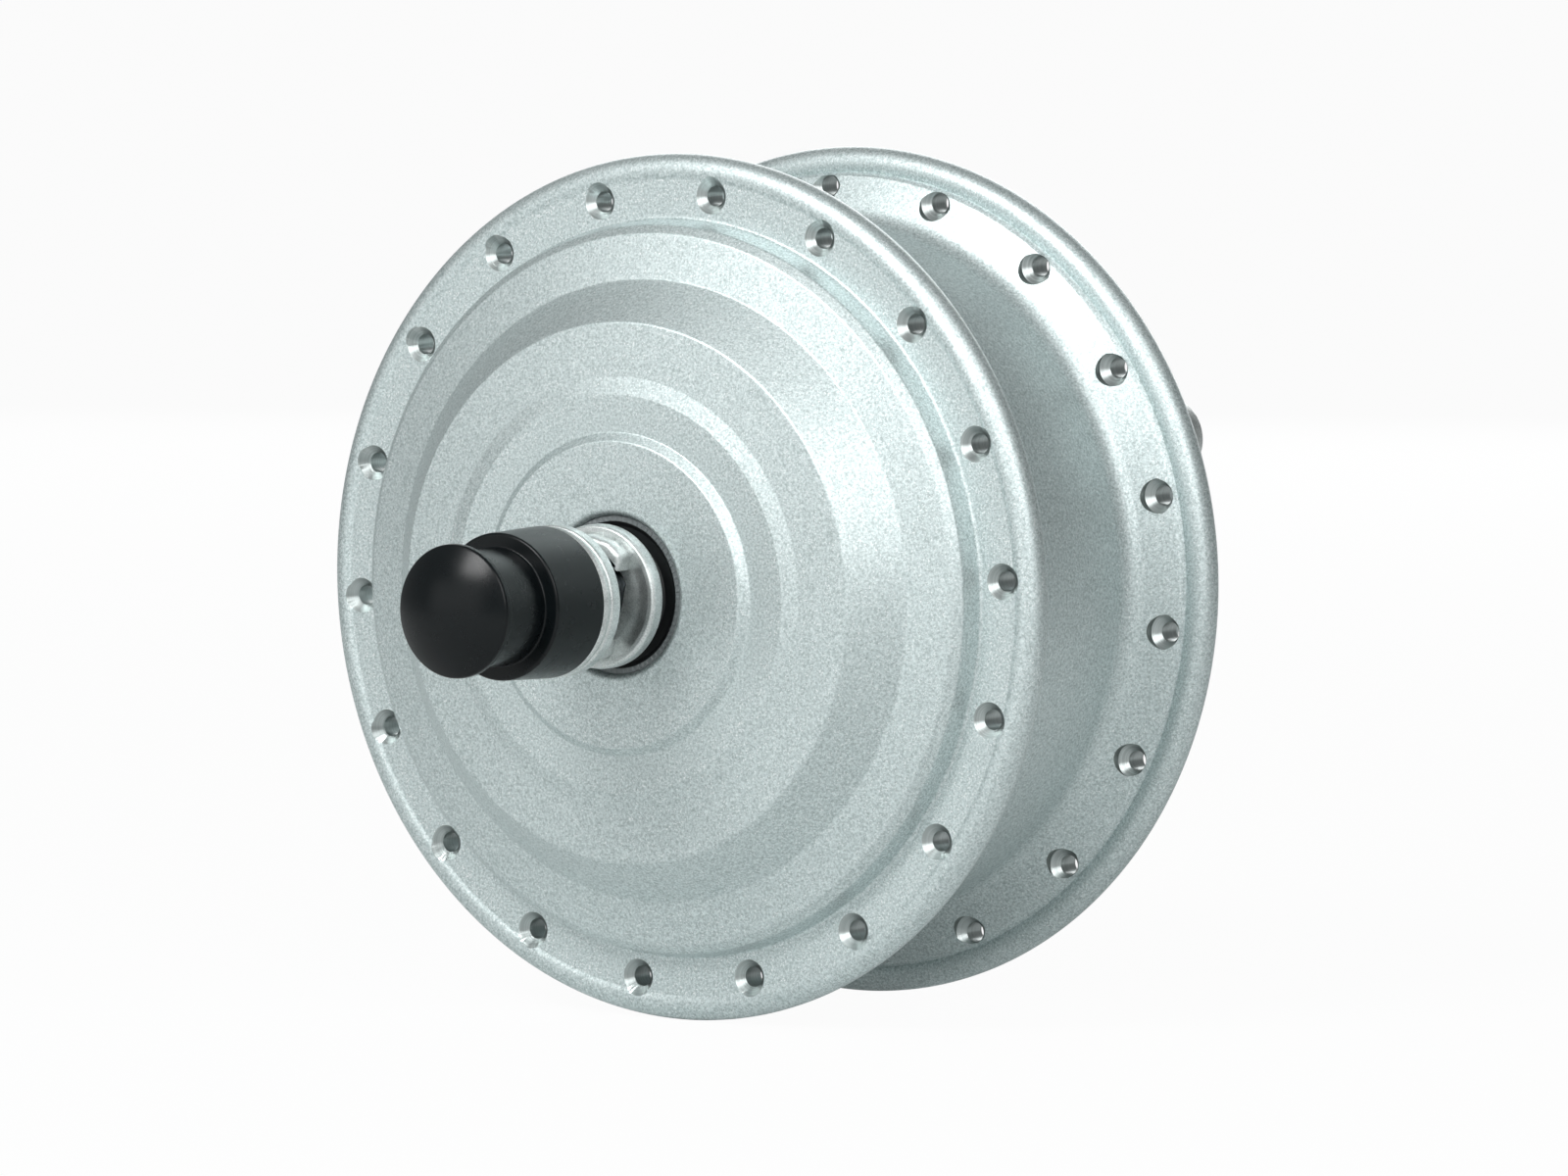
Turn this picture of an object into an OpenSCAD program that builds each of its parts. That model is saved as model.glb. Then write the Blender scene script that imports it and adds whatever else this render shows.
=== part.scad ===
// Geared hub motor for a spoked bicycle wheel.
// The axle lies along Y, +Z is up, and the origin is on the axle midway between the spoke flanges.
// The near end is at -Y and the cable end is at +Y. All sizes are in millimetres.

/* [Spoke flanges] */
// Height of the spoke holes' circle above the drum
spoke_rise = 5.75; // [5.5:0.05:6.4]
// Spoke holes in each flange
spoke_count = 18; // [12:2:20]
// Spoke hole diameter
spoke_hole_d = 3.2; // [2.6:0.1:3.6]
// Countersink diameter on both faces of a spoke hole
spoke_sink_d = 5.6; // [4.6:0.1:6]
// Turn of the near flange's first hole from +X towards +Z
spoke_phase = 3.3; // [0:0.1:20]
// Distance between the middles of the two flange rims
flange_gap = 48.2; // [46:0.2:52]
// Thickness of the flange from its outer face to the plane of the rim's inner side
flange_t = 4.8; // [4:0.2:6]
// Diameter of the round bead along the flange's edge
bead_d = 5.4; // [4.8:0.1:6]
// Distance from the spoke holes' circle to the flange's outer edge
rim_margin = 6.1; // [5.8:0.1:7]

/* [Hub shell] */
// Wall of the drum between the flanges
drum_wall = 5; // [4.5:0.1:6]
// Fillet between the drum and the flange
drum_fillet = 4.5; // [3:0.5:6]
// Rise of the flange's inner face for each millimetre outwards
flange_slope = 0.53; // [0.4:0.01:0.6]
// Half of the width over the two end faces
hub_half = 43; // [42.5:0.5:46]
// Thickness of the end walls
end_wall = 4; // [3:0.5:4.5]

/* [End face] */
// Foot diameter of the inner step
inner_step_d = 50.3; // [48:0.5:54]
// Height of the inner step
inner_step_h = 1.4; // [0.8:0.1:2]
// Foot diameter of the middle step
middle_step_d = 67.5; // [65:0.5:70]
// Height of the middle step
middle_step_h = 0.8; // [0.4:0.1:1.4]
// Diameter of the cone's upper edge
cone_top_d = 84.2; // [82:0.2:86]
// Diameter of the cone's foot
cone_foot_d = 97.1; // [95:0.2:99]
// Height of the cone
cone_h = 7; // [6:0.2:7.6]
// Height of the disc's edge above the drum
disc_rise = 0.9; // [0.4:0.1:1.2]
// Fall of the disc from the cone's foot to its edge
disc_fall = 1.8; // [1:0.1:2]
// Widening of the disc's wall from its edge to its foot, in diameter
wall_draft = 1.6; // [0.8:0.1:2]

/* [Cover on the cable side] */
// Screws that hold the cover
cover_screws_n = 9; // [6:1:12]
// Distance from the shell's bore to the middle of a cover screw
cover_screw_inset = 2.2; // [2:0.1:2.6]
// Thread diameter of the cover screws
cover_screw_d = 3; // [2.6:0.1:3.2]
// Head diameter of the cover screws
cover_head_d = 5.6; // [5.2:0.1:5.8]
// Depth that the screws reach into the shell
cover_screw_bite = 7; // [5:0.5:9]
// Thickness of the gasket
gasket_t = 0.5; // [0.3:0.1:1]
// Depth of the spigot that centres the cover in the shell
spigot_l = 3; // [2:0.5:4]

/* [Axle] */
// Thread diameter of the axle's ends
thread_d = 12; // [11.4:0.1:12.6]
// Distance across the axle's flats
flats_w = 10; // [9.4:0.1:10.4]
// Clockwise turn of the flats from upright, seen from the near end
axle_turn = 13; // [0:1:30]
// Diameter of the shaft in the bearings
shaft_d = 15; // [14.6:0.1:15.4]
// Diameter of the collar that stops the stator
collar_d = 20; // [18:0.5:21]
// Distance from the middle to each end of the axle
axle_half = 75; // [73:0.5:77]
// Diameter of the cable bore in the axle
cable_bore_d = 7.2; // [6:0.1:7.4]
// Hole in the cable grommet
grommet_hole_d = 5.8; // [5:0.1:6]
// Distance between the two faces that the dropouts bear on
locknut_gap = 95; // [94:0.5:100]

/* [Axle fittings] */
// Diameter of the keyed washers
keyed_washer_d = 22.4; // [21:0.2:24]
// Thickness of the keyed washers
keyed_washer_t = 2.6; // [2:0.1:3]
// Diameter of the round sides of the washer's key
key_d = 19.4; // [18:0.2:20]
// Height of the key above the washer
key_h = 2.8; // [2:0.1:3]
// Room between the keyed washer and the flat washer
dropout_room = 9.1; // [8.6:0.1:11]
// Diameter of the flat washers
flat_washer_d = 23.4; // [22.6:0.2:25]
// Thickness of the flat washers
flat_washer_t = 2.3; // [1.8:0.1:3]
// Diameter of the nut's flange
nut_flange_d = 23; // [22:0.2:24]
// Thickness of the nut's flange
nut_flange_t = 2; // [1.5:0.1:2.5]
// Width across the nut's flats
nut_af = 18; // [17:0.1:18.2]
// Height of the nut's hexagon
nut_h = 9.6; // [8:0.1:10]

/* [Nut caps] */
// Diameter of the cap at the nut's flange
cap_base_d = 23.4; // [23:0.1:25]
// Diameter of the cap's collar at its front
cap_collar_d = 22.6; // [22.4:0.1:24]
// Length of the cap's collar
cap_collar_l = 11.4; // [11.2:0.1:13]
// Diameter of the neck behind the domed end
cap_neck_d = 18; // [17:0.1:19]
// Length from the collar to the rim of the dome
cap_neck_l = 11.3; // [8:0.1:13]
// Diameter of the dome's rim
cap_dome_d = 20.4; // [19.6:0.1:22]
// Height of the dome
cap_dome_h = 3.1; // [2:0.1:5]
// Hole for the cable in the cable side's cap
cap_hole_d = 8; // [7:0.1:9]

/* [Torque arm] */
// Thickness of the arm
arm_t = 3.2; // [2.5:0.1:3.4]
// Distance from the axle to the hole at the arm's tip
arm_l = 43.5; // [38:0.5:50]
// Diameter of the arm's round end on the axle
arm_root_d = 26; // [25:0.5:30]
// Width of the arm's tip
arm_tip_d = 13.2; // [12:0.2:16]
// Hole at the arm's tip
arm_hole_d = 6.4; // [5:0.1:7]
// Direction of the arm from +X towards +Z
arm_angle = 28.5; // [0:0.5:60]

/* [Main bearings and seals] */
// Outside diameter of the main bearings
bearing_od = 32; // [31:0.5:33]
// Width of the main bearings
bearing_w = 9; // [8:0.5:9]
// Ball diameter of the main bearings
ball_d = 4.76; // [4.4:0.02:5]
// Balls in each main bearing
ball_n = 9; // [7:1:10]
// Wall of the boss round a main bearing
boss_wall = 3.5; // [2.5:0.5:4]
// Distance from the end face to the bearing
bearing_depth = 3.5; // [3:0.1:4.5]
// Outside diameter of the seals
seal_d = 24.8; // [24:0.2:26]
// Distance from the end face to the seal
seal_depth = 1; // [0.6:0.1:1.2]
// Rounding of the end face into the seal's bore
lip_round = 1; // [0.4:0.1:1.2]

/* [Gears] */
// Tooth module
gear_module = 1.2; // [1.1:0.02:1.22]
// Teeth of the sun gear
sun_teeth = 18; // [18:3:18]
// Teeth of each planet gear
planet_teeth = 30; // [27:3:30]
// Face width of the planet gears
planet_w = 12; // [9:0.5:13]
// Bore of the planet gears, which holds their bushes
planet_bore_d = 12; // [10:0.5:14]
// Diameter of the planet pins
pin_d = 8; // [6:0.2:8.6]
// Play between two meshing teeth
backlash = 0.16; // [0.1:0.02:0.24]
// Wall of the ring gear behind its teeth
ring_wall = 2.7; // [2:0.1:3.5]
// Turn of the first planet from +Z
planet_phase = 20; // [0:1:90]

/* [Clutch and carrier] */
// Diameter of the clutch's inner ring
clutch_ring_d = 21; // [20:0.2:22]
// Diameter of the clutch rollers
roller_d = 4; // [3.4:0.1:4.2]
// Clutch rollers
roller_n = 8; // [6:1:9]
// Width of the clutch
clutch_w = 10.5; // [9:0.5:10.5]
// Diameter of the carrier's hub
carrier_hub_d = 38; // [36:0.5:40]
// Diameter of the carrier's plate
carrier_d = 72; // [70:0.5:76]
// Thickness of the carrier's plate
carrier_t = 4.7; // [4:0.1:5.5]

/* [Motor] */
// Gap between the bell and the shell's bore
bell_gap = 2.5; // [2.2:0.1:3.5]
// Wall of the rotor bell
bell_wall = 2.5; // [2:0.1:3]
// Thickness of the bell's disc
bell_disc_t = 3; // [2.5:0.1:3.5]
// Magnets
magnet_n = 20; // [16:2:24]
// Thickness of the magnets
magnet_t = 2.8; // [2:0.1:3.2]
// Air gap between the magnets and the stator
air_gap = 0.5; // [0.4:0.05:0.8]
// Stator teeth
tooth_n = 18; // [15:3:18]
// Width of a stator tooth
tooth_w = 7; // [6:0.1:7.4]
// Depth of the stator's slots
slot_depth = 11; // [9:0.5:11.5]
// Radial thickness of the stator's yoke
yoke_t = 5; // [4:0.5:6]
// Reach of the coils past the core at each end
coil_reach = 5; // [4:0.5:5.5]
// Thickness of the circuit board
board_t = 1.6; // [1:0.1:2]

/* [Clearances] */
// Gap between a hole and the fixed piece in it
fit_gap = 0.05; // [0.02:0.01:0.1]
// Gap between pieces that turn past each other
run_gap = 0.7; // [0.5:0.05:0.8]
// Gap of a rolling or sliding bearing, in radius
bearing_gap = 0.05; // [0.03:0.01:0.08]

/* [Hidden] */
$fn = 128;
eps = 0.01;

// Gears
ring_teeth = sun_teeth + 2 * planet_teeth;
arm_r = gear_module * (sun_teeth + planet_teeth) / 2;
tooth_top = gear_module;
tooth_root = 1.25 * gear_module;
planets = 3;
pressure_angle = 20;
flank_steps = 5;

// Radii of the shell, which is built up round the ring gear
shell_r = gear_module * ring_teeth / 2 + tooth_root + ring_wall;
drum_r = shell_r + drum_wall;
disc_r = drum_r + disc_rise;
spoke_ring_r = drum_r + spoke_rise;
flange_r = spoke_ring_r + rim_margin;

// Flange rims, measured from the middle of the hub
flange_face = flange_gap / 2 + flange_t / 2;
inner_face = flange_gap / 2 - flange_t / 2;
bead_r = bead_d / 2;
bead_ring_r = flange_r - bead_r;
bead_angle = asin(flange_t / bead_d);
bead_foot_r = bead_ring_r - bead_r * cos(bead_angle);
foot_fillet = 1.7;

// Drum, and the sloping inner side of a flange from the bead's foot to the drum's fillet
slope_angle = atan(flange_slope);
slope_end = [bead_foot_r - 0.6, inner_face - 0.9];
fillet_top_r = drum_r + drum_fillet * (1 - sin(slope_angle));
drum_arc_y = slope_end[1] - flange_slope * (slope_end[0] - fillet_top_r)
    - drum_fillet * cos(slope_angle);

// End face, as distances from the middle of the hub
inner_bevel = 1.3;
middle_bevel = 2.8;
outer_step_h = 0.8;
face_fall = 0.1;
cone_top = hub_half - inner_step_h - middle_step_h - outer_step_h;
cone_foot = cone_top - cone_h;
cone_angle = atan(2 * cone_h / (cone_foot_d - cone_top_d));
disc_edge = cone_foot - disc_fall;
edge_round = 0.8;
wall_foot = flange_face + foot_fillet;
wall_foot_r = disc_r + wall_draft / 2;

// Inner side of an end wall
wall_in = hub_half - inner_step_h - end_wall;
cone_in_top = [cone_top_d / 2 - end_wall * sin(cone_angle), cone_top - end_wall * cos(cone_angle)];
cone_in_foot = [cone_foot_d / 2 - end_wall * sin(cone_angle), cone_foot - end_wall * cos(cone_angle)];

// Cover
cover_foot = wall_foot + gasket_t;
cover_ring = disc_edge + 0.4;
ring_land = 1.3;
cover_screw_ring_r = shell_r + cover_screw_inset;
cover_sink = (cover_head_d - cover_screw_d) / 2;
screw_gap = 0.2;
socket_af = 2;
socket_depth = 1.1;
spigot_r = shell_r - fit_gap;
spigot_wall = 2;

// Bearing seats
bearing_out = hub_half - bearing_depth;
bearing_in = bearing_out - bearing_w;
seal_r = seal_d / 2;
bearing_r = bearing_od / 2;
boss_r = bearing_r + boss_wall;
shaft_r = shaft_d / 2;

// Places along the axle from the near bearing inwards
clip_t = 1;
pin_clip_t = 0.5;
clutch_0 = -bearing_in;
clutch_1 = clutch_0 + clutch_w;
planet_0 = clutch_1 + clip_t + 0.5;
planet_1 = planet_0 + planet_w;
pin_clip_0 = planet_1 + 0.05;
bell_0 = planet_1 + pin_clip_t + run_gap + 0.3;
bell_1 = bell_0 + bell_disc_t;
coil_0 = bell_1 + run_gap;
coil_1 = bearing_in - 2;
core_0 = coil_0 + coil_reach;
core_1 = coil_1 - coil_reach;
board_0 = coil_1 + 0.3;

// Bearings as bore radius, outer radius, width, ball radius and number of balls
rotor_bearing_t = 4.5;
rotor_bearing_w = 5;
rotor_ball_r = 1.2;
rotor_ball_n = 14;
main_bearing = [shaft_r, bearing_r, bearing_w, ball_d / 2, ball_n];
rotor_bearing_r = shaft_r + rotor_bearing_t;
rotor_bearing = [shaft_r, rotor_bearing_r, rotor_bearing_w, rotor_ball_r, rotor_ball_n];
cage_height = 0.3;
cage_width = 1.3;
shoulder = 0.62;

// Rotor
bell_r = shell_r - bell_gap;
magnet_out_r = bell_r - bell_wall;
magnet_in_r = magnet_out_r - magnet_t;
magnet_space = 1.6;
rotor_hub_r = rotor_bearing_r + 3;
spigot_t = 3;
rotor_bearing_0 = bell_0 + spigot_t + 0.2;
rotor_bearing_step = rotor_bearing_w + 0.3;
rotor_hub_1 = rotor_bearing_0 + 2 * rotor_bearing_step;
rotor_clip_0 = rotor_bearing_0 - clip_t;
bell_holes = 6;
bell_hole_r = 5;

// Stator
core_r = magnet_in_r - air_gap;
shoe_t = 2;
slot_opening = 2.5;
slot_floor_r = core_r - slot_depth;
core_in_r = slot_floor_r - yoke_t;
insulator_t = 1;
support_0 = rotor_bearing_0 + rotor_bearing_step + rotor_bearing_w;
support_1 = core_1 - 1.5;
support_lip = 1;
support_rim_r = core_in_r - 3;
support_hub_r = shaft_r + 3.5;
support_web_t = 6;
support_holes = 6;
support_hole_r = 4;
collar_1 = support_1 + 2;
key_slot = [3, 1.6, support_1 - support_0 - 4];
board_in_r = boss_r + 1.5;
board_out_r = slot_floor_r + 3;
lead_slot_w = 4;
lead_slot_0 = collar_1 + 0.5;
lead_slot_1 = bearing_in - 0.6;
lead_r = 0.6;
lead_pitch = 1.3;
lead_drop = 0.7;
sensor_w = 4;
sensor_t = 1.5;
sensor_h = 3;
sensor_rise = 6;
sensor_step = 60;

// Clutch
roller_r = roller_d / 2;
roller_inset = 1.5;
clutch_r = clutch_ring_d / 2;
roller_ring_r = clutch_r + roller_r + bearing_gap;
clutch_bore_r = roller_ring_r + roller_r + bearing_gap;
roller_half_angle = asin(roller_r / roller_ring_r);
lug_from = roller_half_angle + 11;
lug_to = min(lug_from + 8, 360 / roller_n - roller_half_angle - 1);
spring_r = 0.8;
spring_l = 2 * roller_ring_r * sin((lug_from - roller_half_angle) / 2) - 0.3;
carrier_0 = clutch_0 + run_gap;
carrier_1 = planet_0 - run_gap;
plate_0 = carrier_1 - carrier_t;
pin_groove = 0.4;
shaft_groove = 0.5;

// Stack on each end of the axle
seat = locknut_gap / 2;
keyed_back = seat - keyed_washer_t;
flat_washer_0 = seat + dropout_room;
flat_washer_1 = flat_washer_0 + flat_washer_t;
washer_chamfer = 0.4;
nut_hex_0 = flat_washer_1 + nut_flange_t;
nut_1 = nut_hex_0 + nut_h;
nut_corner_r = nut_af / 2 / cos(30);
thread_r = thread_d / 2;

// Nut caps
cap_0 = nut_hex_0;
collar_end = cap_0 + cap_collar_l;
dome_0 = collar_end + cap_neck_l;
cap_edge = 0.6;
cap_wall = 1.6;
cap_end_wall = 1.2;
dome_rim = 0.7;

// Turns a profile of [radius, place along the axle] points round the axle
module turned(points) {
    rotate([-90, 0, 0])
        rotate_extrude()
            polygon(points);
}

// Extrudes a flat shape, drawn as seen from the near end, from y = from to y = to
module plate(from, to) {
    translate([0, to, 0])
        rotate([90, 0, 0])
            linear_extrude(height = to - from)
                children();
}

// A ring round the axle
module ring(inner, outer, from, to) {
    turned([[inner, from], [outer, from], [outer, to], [inner, to]]);
}

// A rod along the axle's direction
module rod(r, from, to) {
    translate([0, from, 0])
        rotate([-90, 0, 0])
            cylinder(r = r, h = to - from);
}

// Copies round the axle, clockwise as seen from the near end
module around(count, start = 0) {
    for (i = [0 : count - 1])
        rotate([0, start + i * 360 / count, 0])
            children();
}

// Pieces at both ends are drawn for the cable end, and this carries them to the near end
module near_end() {
    mirror([0, 1, 0])
        children();
}

function arc(centre, r, from, to, steps) =
    [for (i = [0 : steps])
        let (a = from + (to - from) * i / steps)
            [centre[0] + r * cos(a), centre[1] + r * sin(a)]];

function flipped(points) = [for (p = points) [p[0], -p[1]]];

function backwards(points) = [for (i = [len(points) - 1 : -1 : 0]) points[i]];

// Steps and cone of an end face, from the seal's bore outwards to the cone's foot
function face_steps() = concat(
    arc([seal_r + lip_round, hub_half - lip_round], lip_round, 180, 90, 5),
    [
        [inner_step_d / 2 - inner_bevel, hub_half - face_fall],
        [inner_step_d / 2, hub_half - inner_step_h],
        [middle_step_d / 2 - middle_bevel, hub_half - inner_step_h - face_fall],
        [middle_step_d / 2, hub_half - inner_step_h - middle_step_h],
        [cone_top_d / 2, cone_top],
        [cone_foot_d / 2, cone_foot]
    ]
);

// Rounded outer edge of the end disc, down to the foot of its wall
function disc_rim(edge, foot) = concat(
    arc([disc_r - edge_round, edge - edge_round], edge_round, 80, 12, 4),
    [[wall_foot_r, foot]]
);

// Flange, from the foot of the end disc's wall over the bead to the drum
function flange_outline() = concat(
    arc([wall_foot_r + foot_fillet, wall_foot], foot_fillet, 190, 270, 5),
    arc([bead_ring_r, flange_gap / 2], bead_r, 180 - bead_angle, -180 + bead_angle, 20),
    [[slope_end[0], slope_end[1]]],
    arc([drum_r + drum_fillet, drum_arc_y], drum_fillet, 90 + slope_angle, 180, 6)
);

// Inner side of an end wall, from the bearing boss to the seal's bore
function boss_outline() = [
    [boss_r, wall_in],
    [boss_r, bearing_in],
    [bearing_r, bearing_in],
    [bearing_r, bearing_out],
    [seal_r, bearing_out]
];

// One hole for a spoke, with a countersink on each face of the flange
module spoke_hole() {
    sink = (spoke_sink_d - spoke_hole_d) / 2;
    inner_y = slope_end[1] - flange_slope * (slope_end[0] - spoke_ring_r);
    translate([spoke_ring_r, 0, 0]) {
        rod(spoke_hole_d / 2, inner_y - 1, flange_face + 1);
        translate([0, flange_face - sink, 0])
            rotate([-90, 0, 0])
                cylinder(r1 = spoke_hole_d / 2, r2 = spoke_sink_d / 2 + 1, h = sink + 1);
        translate([0, inner_y + sink, 0])
            rotate([90, 0, 0])
                cylinder(r1 = spoke_hole_d / 2, r2 = spoke_sink_d / 2, h = sink);
        rod(spoke_sink_d / 2, inner_y - 4, inner_y + eps);
    }
}

module hub_shell() {
    color("silver")
        difference() {
            turned(concat(
                flipped(face_steps()),
                flipped(disc_rim(disc_edge, wall_foot)),
                flipped(flange_outline()),
                backwards(flange_outline()),
                [
                    [shell_r, wall_foot],
                    [shell_r, -wall_foot],
                    [cone_in_foot[0], -cone_in_foot[1]],
                    [cone_in_top[0], -cone_in_top[1]]
                ],
                flipped(boss_outline())
            ));
            around(spoke_count, -spoke_phase)
                mirror([0, 1, 0])
                    spoke_hole();
            around(spoke_count, -spoke_phase + 180 / spoke_count)
                spoke_hole();
            around(cover_screws_n)
                translate([cover_screw_ring_r, 0, 0])
                    rod(cover_screw_d / 2 + fit_gap, wall_foot - cover_screw_bite - 1, wall_foot + 1);
        }
}

module side_cover() {
    color("silver")
        difference() {
            turned(concat(
                face_steps(),
                [[cone_foot_d / 2 + ring_land, cover_ring]],
                disc_rim(cover_ring, cover_foot),
                [
                    [spigot_r, cover_foot],
                    [spigot_r, wall_foot - spigot_l],
                    [spigot_r - spigot_wall, wall_foot - spigot_l],
                    [spigot_r - spigot_wall, cover_foot],
                    [cone_in_foot[0], cone_in_foot[1] - 1],
                    cone_in_top
                ],
                boss_outline()
            ));
            around(cover_screws_n)
                translate([cover_screw_ring_r, 0, 0]) {
                    rod(cover_screw_d / 2 + screw_gap, cover_foot - 1, cover_ring + 1);
                    translate([0, cover_ring - cover_sink, 0])
                        rotate([-90, 0, 0])
                            cylinder(
                                r1 = cover_screw_d / 2 + screw_gap,
                                r2 = cover_head_d / 2 + screw_gap + 1,
                                h = cover_sink + 1
                            );
                }
        }
}
module cover_gasket() {
    color("darkslategray")
        difference() {
            ring(shell_r + screw_gap, wall_foot_r - screw_gap, wall_foot, cover_foot);
            around(cover_screws_n)
                translate([cover_screw_ring_r, 0, 0])
                    rod(cover_screw_d / 2 + screw_gap, wall_foot - 1, cover_foot + 1);
        }
}

// Countersunk screws with a hexagon socket
module cover_screws() {
    color("dimgray")
        around(cover_screws_n)
            translate([cover_screw_ring_r, 0, 0])
                difference() {
                    union() {
                        rod(cover_screw_d / 2, wall_foot - cover_screw_bite, cover_ring - cover_sink + eps);
                        translate([0, cover_ring - cover_sink, 0])
                            rotate([-90, 0, 0])
                                cylinder(r1 = cover_screw_d / 2, r2 = cover_head_d / 2, h = cover_sink);
                    }
                    translate([0, cover_ring - socket_depth, 0])
                        rotate([-90, 0, 0])
                            cylinder(d = socket_af / cos(30), h = socket_depth + 1, $fn = 6);
                }
}

// Flank of an involute tooth as [radius, angle from the tooth's middle] pairs
function roll(r, base) = sqrt(max(0, r * r / (base * base) - 1));
function involute(r, base) = roll(r, base) * 180 / PI - atan(roll(r, base));
function half_angle(r, teeth, thin) =
    let (
        pitch_r = gear_module * teeth / 2,
        base = pitch_r * cos(pressure_angle)
    )
        90 / teeth - thin / 2 / pitch_r * 180 / PI
            + involute(pitch_r, base) - involute(max(r, base), base);

function polar(r, a) = [r * cos(a), r * sin(a)];

// Outline of a gear whose first tooth points along X
function gear_outline(teeth, top, root, thin) =
    let (pitch_r = gear_module * teeth / 2)
        [for (i = [0 : teeth - 1])
            let (a = i * 360 / teeth)
                each concat(
                    [for (k = [0 : flank_steps])
                        let (r = pitch_r - root + (top + root) * k / flank_steps)
                            polar(r, a - half_angle(r, teeth, thin))],
                    [for (k = [flank_steps : -1 : 0])
                        let (r = pitch_r - root + (top + root) * k / flank_steps)
                            polar(r, a + half_angle(r, teeth, thin))]
                )];

module gear(teeth, from, to, turn) {
    plate(from, to)
        rotate(turn)
            polygon(gear_outline(teeth, tooth_top, tooth_root, backlash / 2));
}

// Direction of a planet in the flat shapes' own angle, and its turn round the axle
function planet_angle(i) = 90 - planet_phase - i * 360 / planets;

module ring_gear() {
    half_tooth = 180 / ring_teeth;
    color("gainsboro")
        difference() {
            rod(shell_r - fit_gap, planet_0 - 0.5, planet_1 + 0.5);
            plate(planet_0 - 2, planet_1 + 2)
                rotate(planet_angle(0) + (planet_teeth % 2 == 0 ? half_tooth : 0))
                    polygon(gear_outline(ring_teeth, tooth_root, tooth_top, -backlash / 2));
        }
}

// Bearing pieces, for b = [bore radius, outer radius, width, ball radius, balls]
function ball_ring_r(b) = (b[0] + b[1]) / 2;
function race_gap(b) = shoulder * b[3];

module inner_race(b, from) {
    color("silver")
        difference() {
            ring(b[0], ball_ring_r(b) - race_gap(b), from, from + b[2]);
            ball_groove(b, from);
        }
}

module outer_race(b, from) {
    color("silver")
        difference() {
            ring(ball_ring_r(b) + race_gap(b), b[1], from, from + b[2]);
            ball_groove(b, from);
        }
}

module ball_groove(b, from) {
    translate([0, from + b[2] / 2, 0])
        rotate([-90, 0, 0])
            rotate_extrude()
                translate([ball_ring_r(b), 0])
                    circle(r = b[3] + bearing_gap, $fn = 48);
}

module balls(b, from, grow = 0) {
    around(b[4])
        translate([0, from + b[2] / 2, ball_ring_r(b)])
            sphere(r = b[3] + grow, $fn = 48);
}

module cage(b, from) {
    half = cage_height * b[3];
    middle = from + b[2] / 2;
    side = cage_width * b[3];
    color("goldenrod")
        difference() {
            ring(ball_ring_r(b) - half, ball_ring_r(b) + half, middle - side, middle + side);
            balls(b, from, bearing_gap);
        }
}

module near_bearing_inner_race() { inner_race(main_bearing, -bearing_out); }
module far_bearing_inner_race() { inner_race(main_bearing, bearing_in); }
module near_bearing_outer_race() { outer_race(main_bearing, -bearing_out); }
module far_bearing_outer_race() { outer_race(main_bearing, bearing_in); }
module near_bearing_balls() { color("silver") balls(main_bearing, -bearing_out); }
module far_bearing_balls() { color("silver") balls(main_bearing, bearing_in); }
module near_bearing_cage() { cage(main_bearing, -bearing_out); }
module far_bearing_cage() { cage(main_bearing, bearing_in); }

module rotor_bearing_inner_races() {
    for (i = [0, 1])
        inner_race(rotor_bearing, rotor_bearing_0 + i * rotor_bearing_step);
}

module rotor_bearing_outer_races() {
    for (i = [0, 1])
        outer_race(rotor_bearing, rotor_bearing_0 + i * rotor_bearing_step);
}

module rotor_bearing_balls() {
    color("silver")
        for (i = [0, 1])
            balls(rotor_bearing, rotor_bearing_0 + i * rotor_bearing_step);
}

module rotor_bearing_cages() {
    for (i = [0, 1])
        cage(rotor_bearing, rotor_bearing_0 + i * rotor_bearing_step);
}

// Rubber lip seal between the shaft and the end face, drawn for the far end
module seal() {
    back = bearing_out + 0.3;
    front = hub_half - seal_depth;
    color("black")
        turned([
            [shaft_r + 0.3, back],
            [seal_r, back],
            [seal_r, front],
            [seal_r - 1, front],
            [seal_r - 1.6, front - 0.7],
            [shaft_r + 1.4, front - 0.7],
            [shaft_r + 0.3, front + 0.3]
        ]);
}

module near_seal() { near_end() seal(); }
module far_seal() { seal(); }

// Flat shape of a round bar with two flats, turned like the axle's
module flatted(d, width) {
    rotate(-axle_turn)
        intersection() {
            circle(d = d);
            square([width, 2 * d], center = true);
        }
}

module axle() {
    color("gray")
        difference() {
            union() {
                plate(-axle_half, -keyed_back + eps)
                    flatted(thread_d, flats_w);
                plate(keyed_back - eps, axle_half)
                    flatted(thread_d, flats_w);
                rod(shaft_r, -keyed_back, keyed_back);
                rod(collar_d / 2, support_1, collar_1);
            }
            rod(cable_bore_d / 2, collar_1, axle_half + 1);
            translate([-lead_slot_w / 2, lead_slot_0, 0])
                cube([lead_slot_w, lead_slot_1 - lead_slot_0, shaft_r + 1]);
            translate([-key_slot[0] / 2, support_0 + 2, shaft_r - key_slot[1]])
                cube([key_slot[0], key_slot[2], key_slot[1] + 1]);
            for (y = [clutch_1, rotor_clip_0])
                ring(shaft_r - shaft_groove, shaft_r + 1, y, y + clip_t);
        }
}

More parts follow.
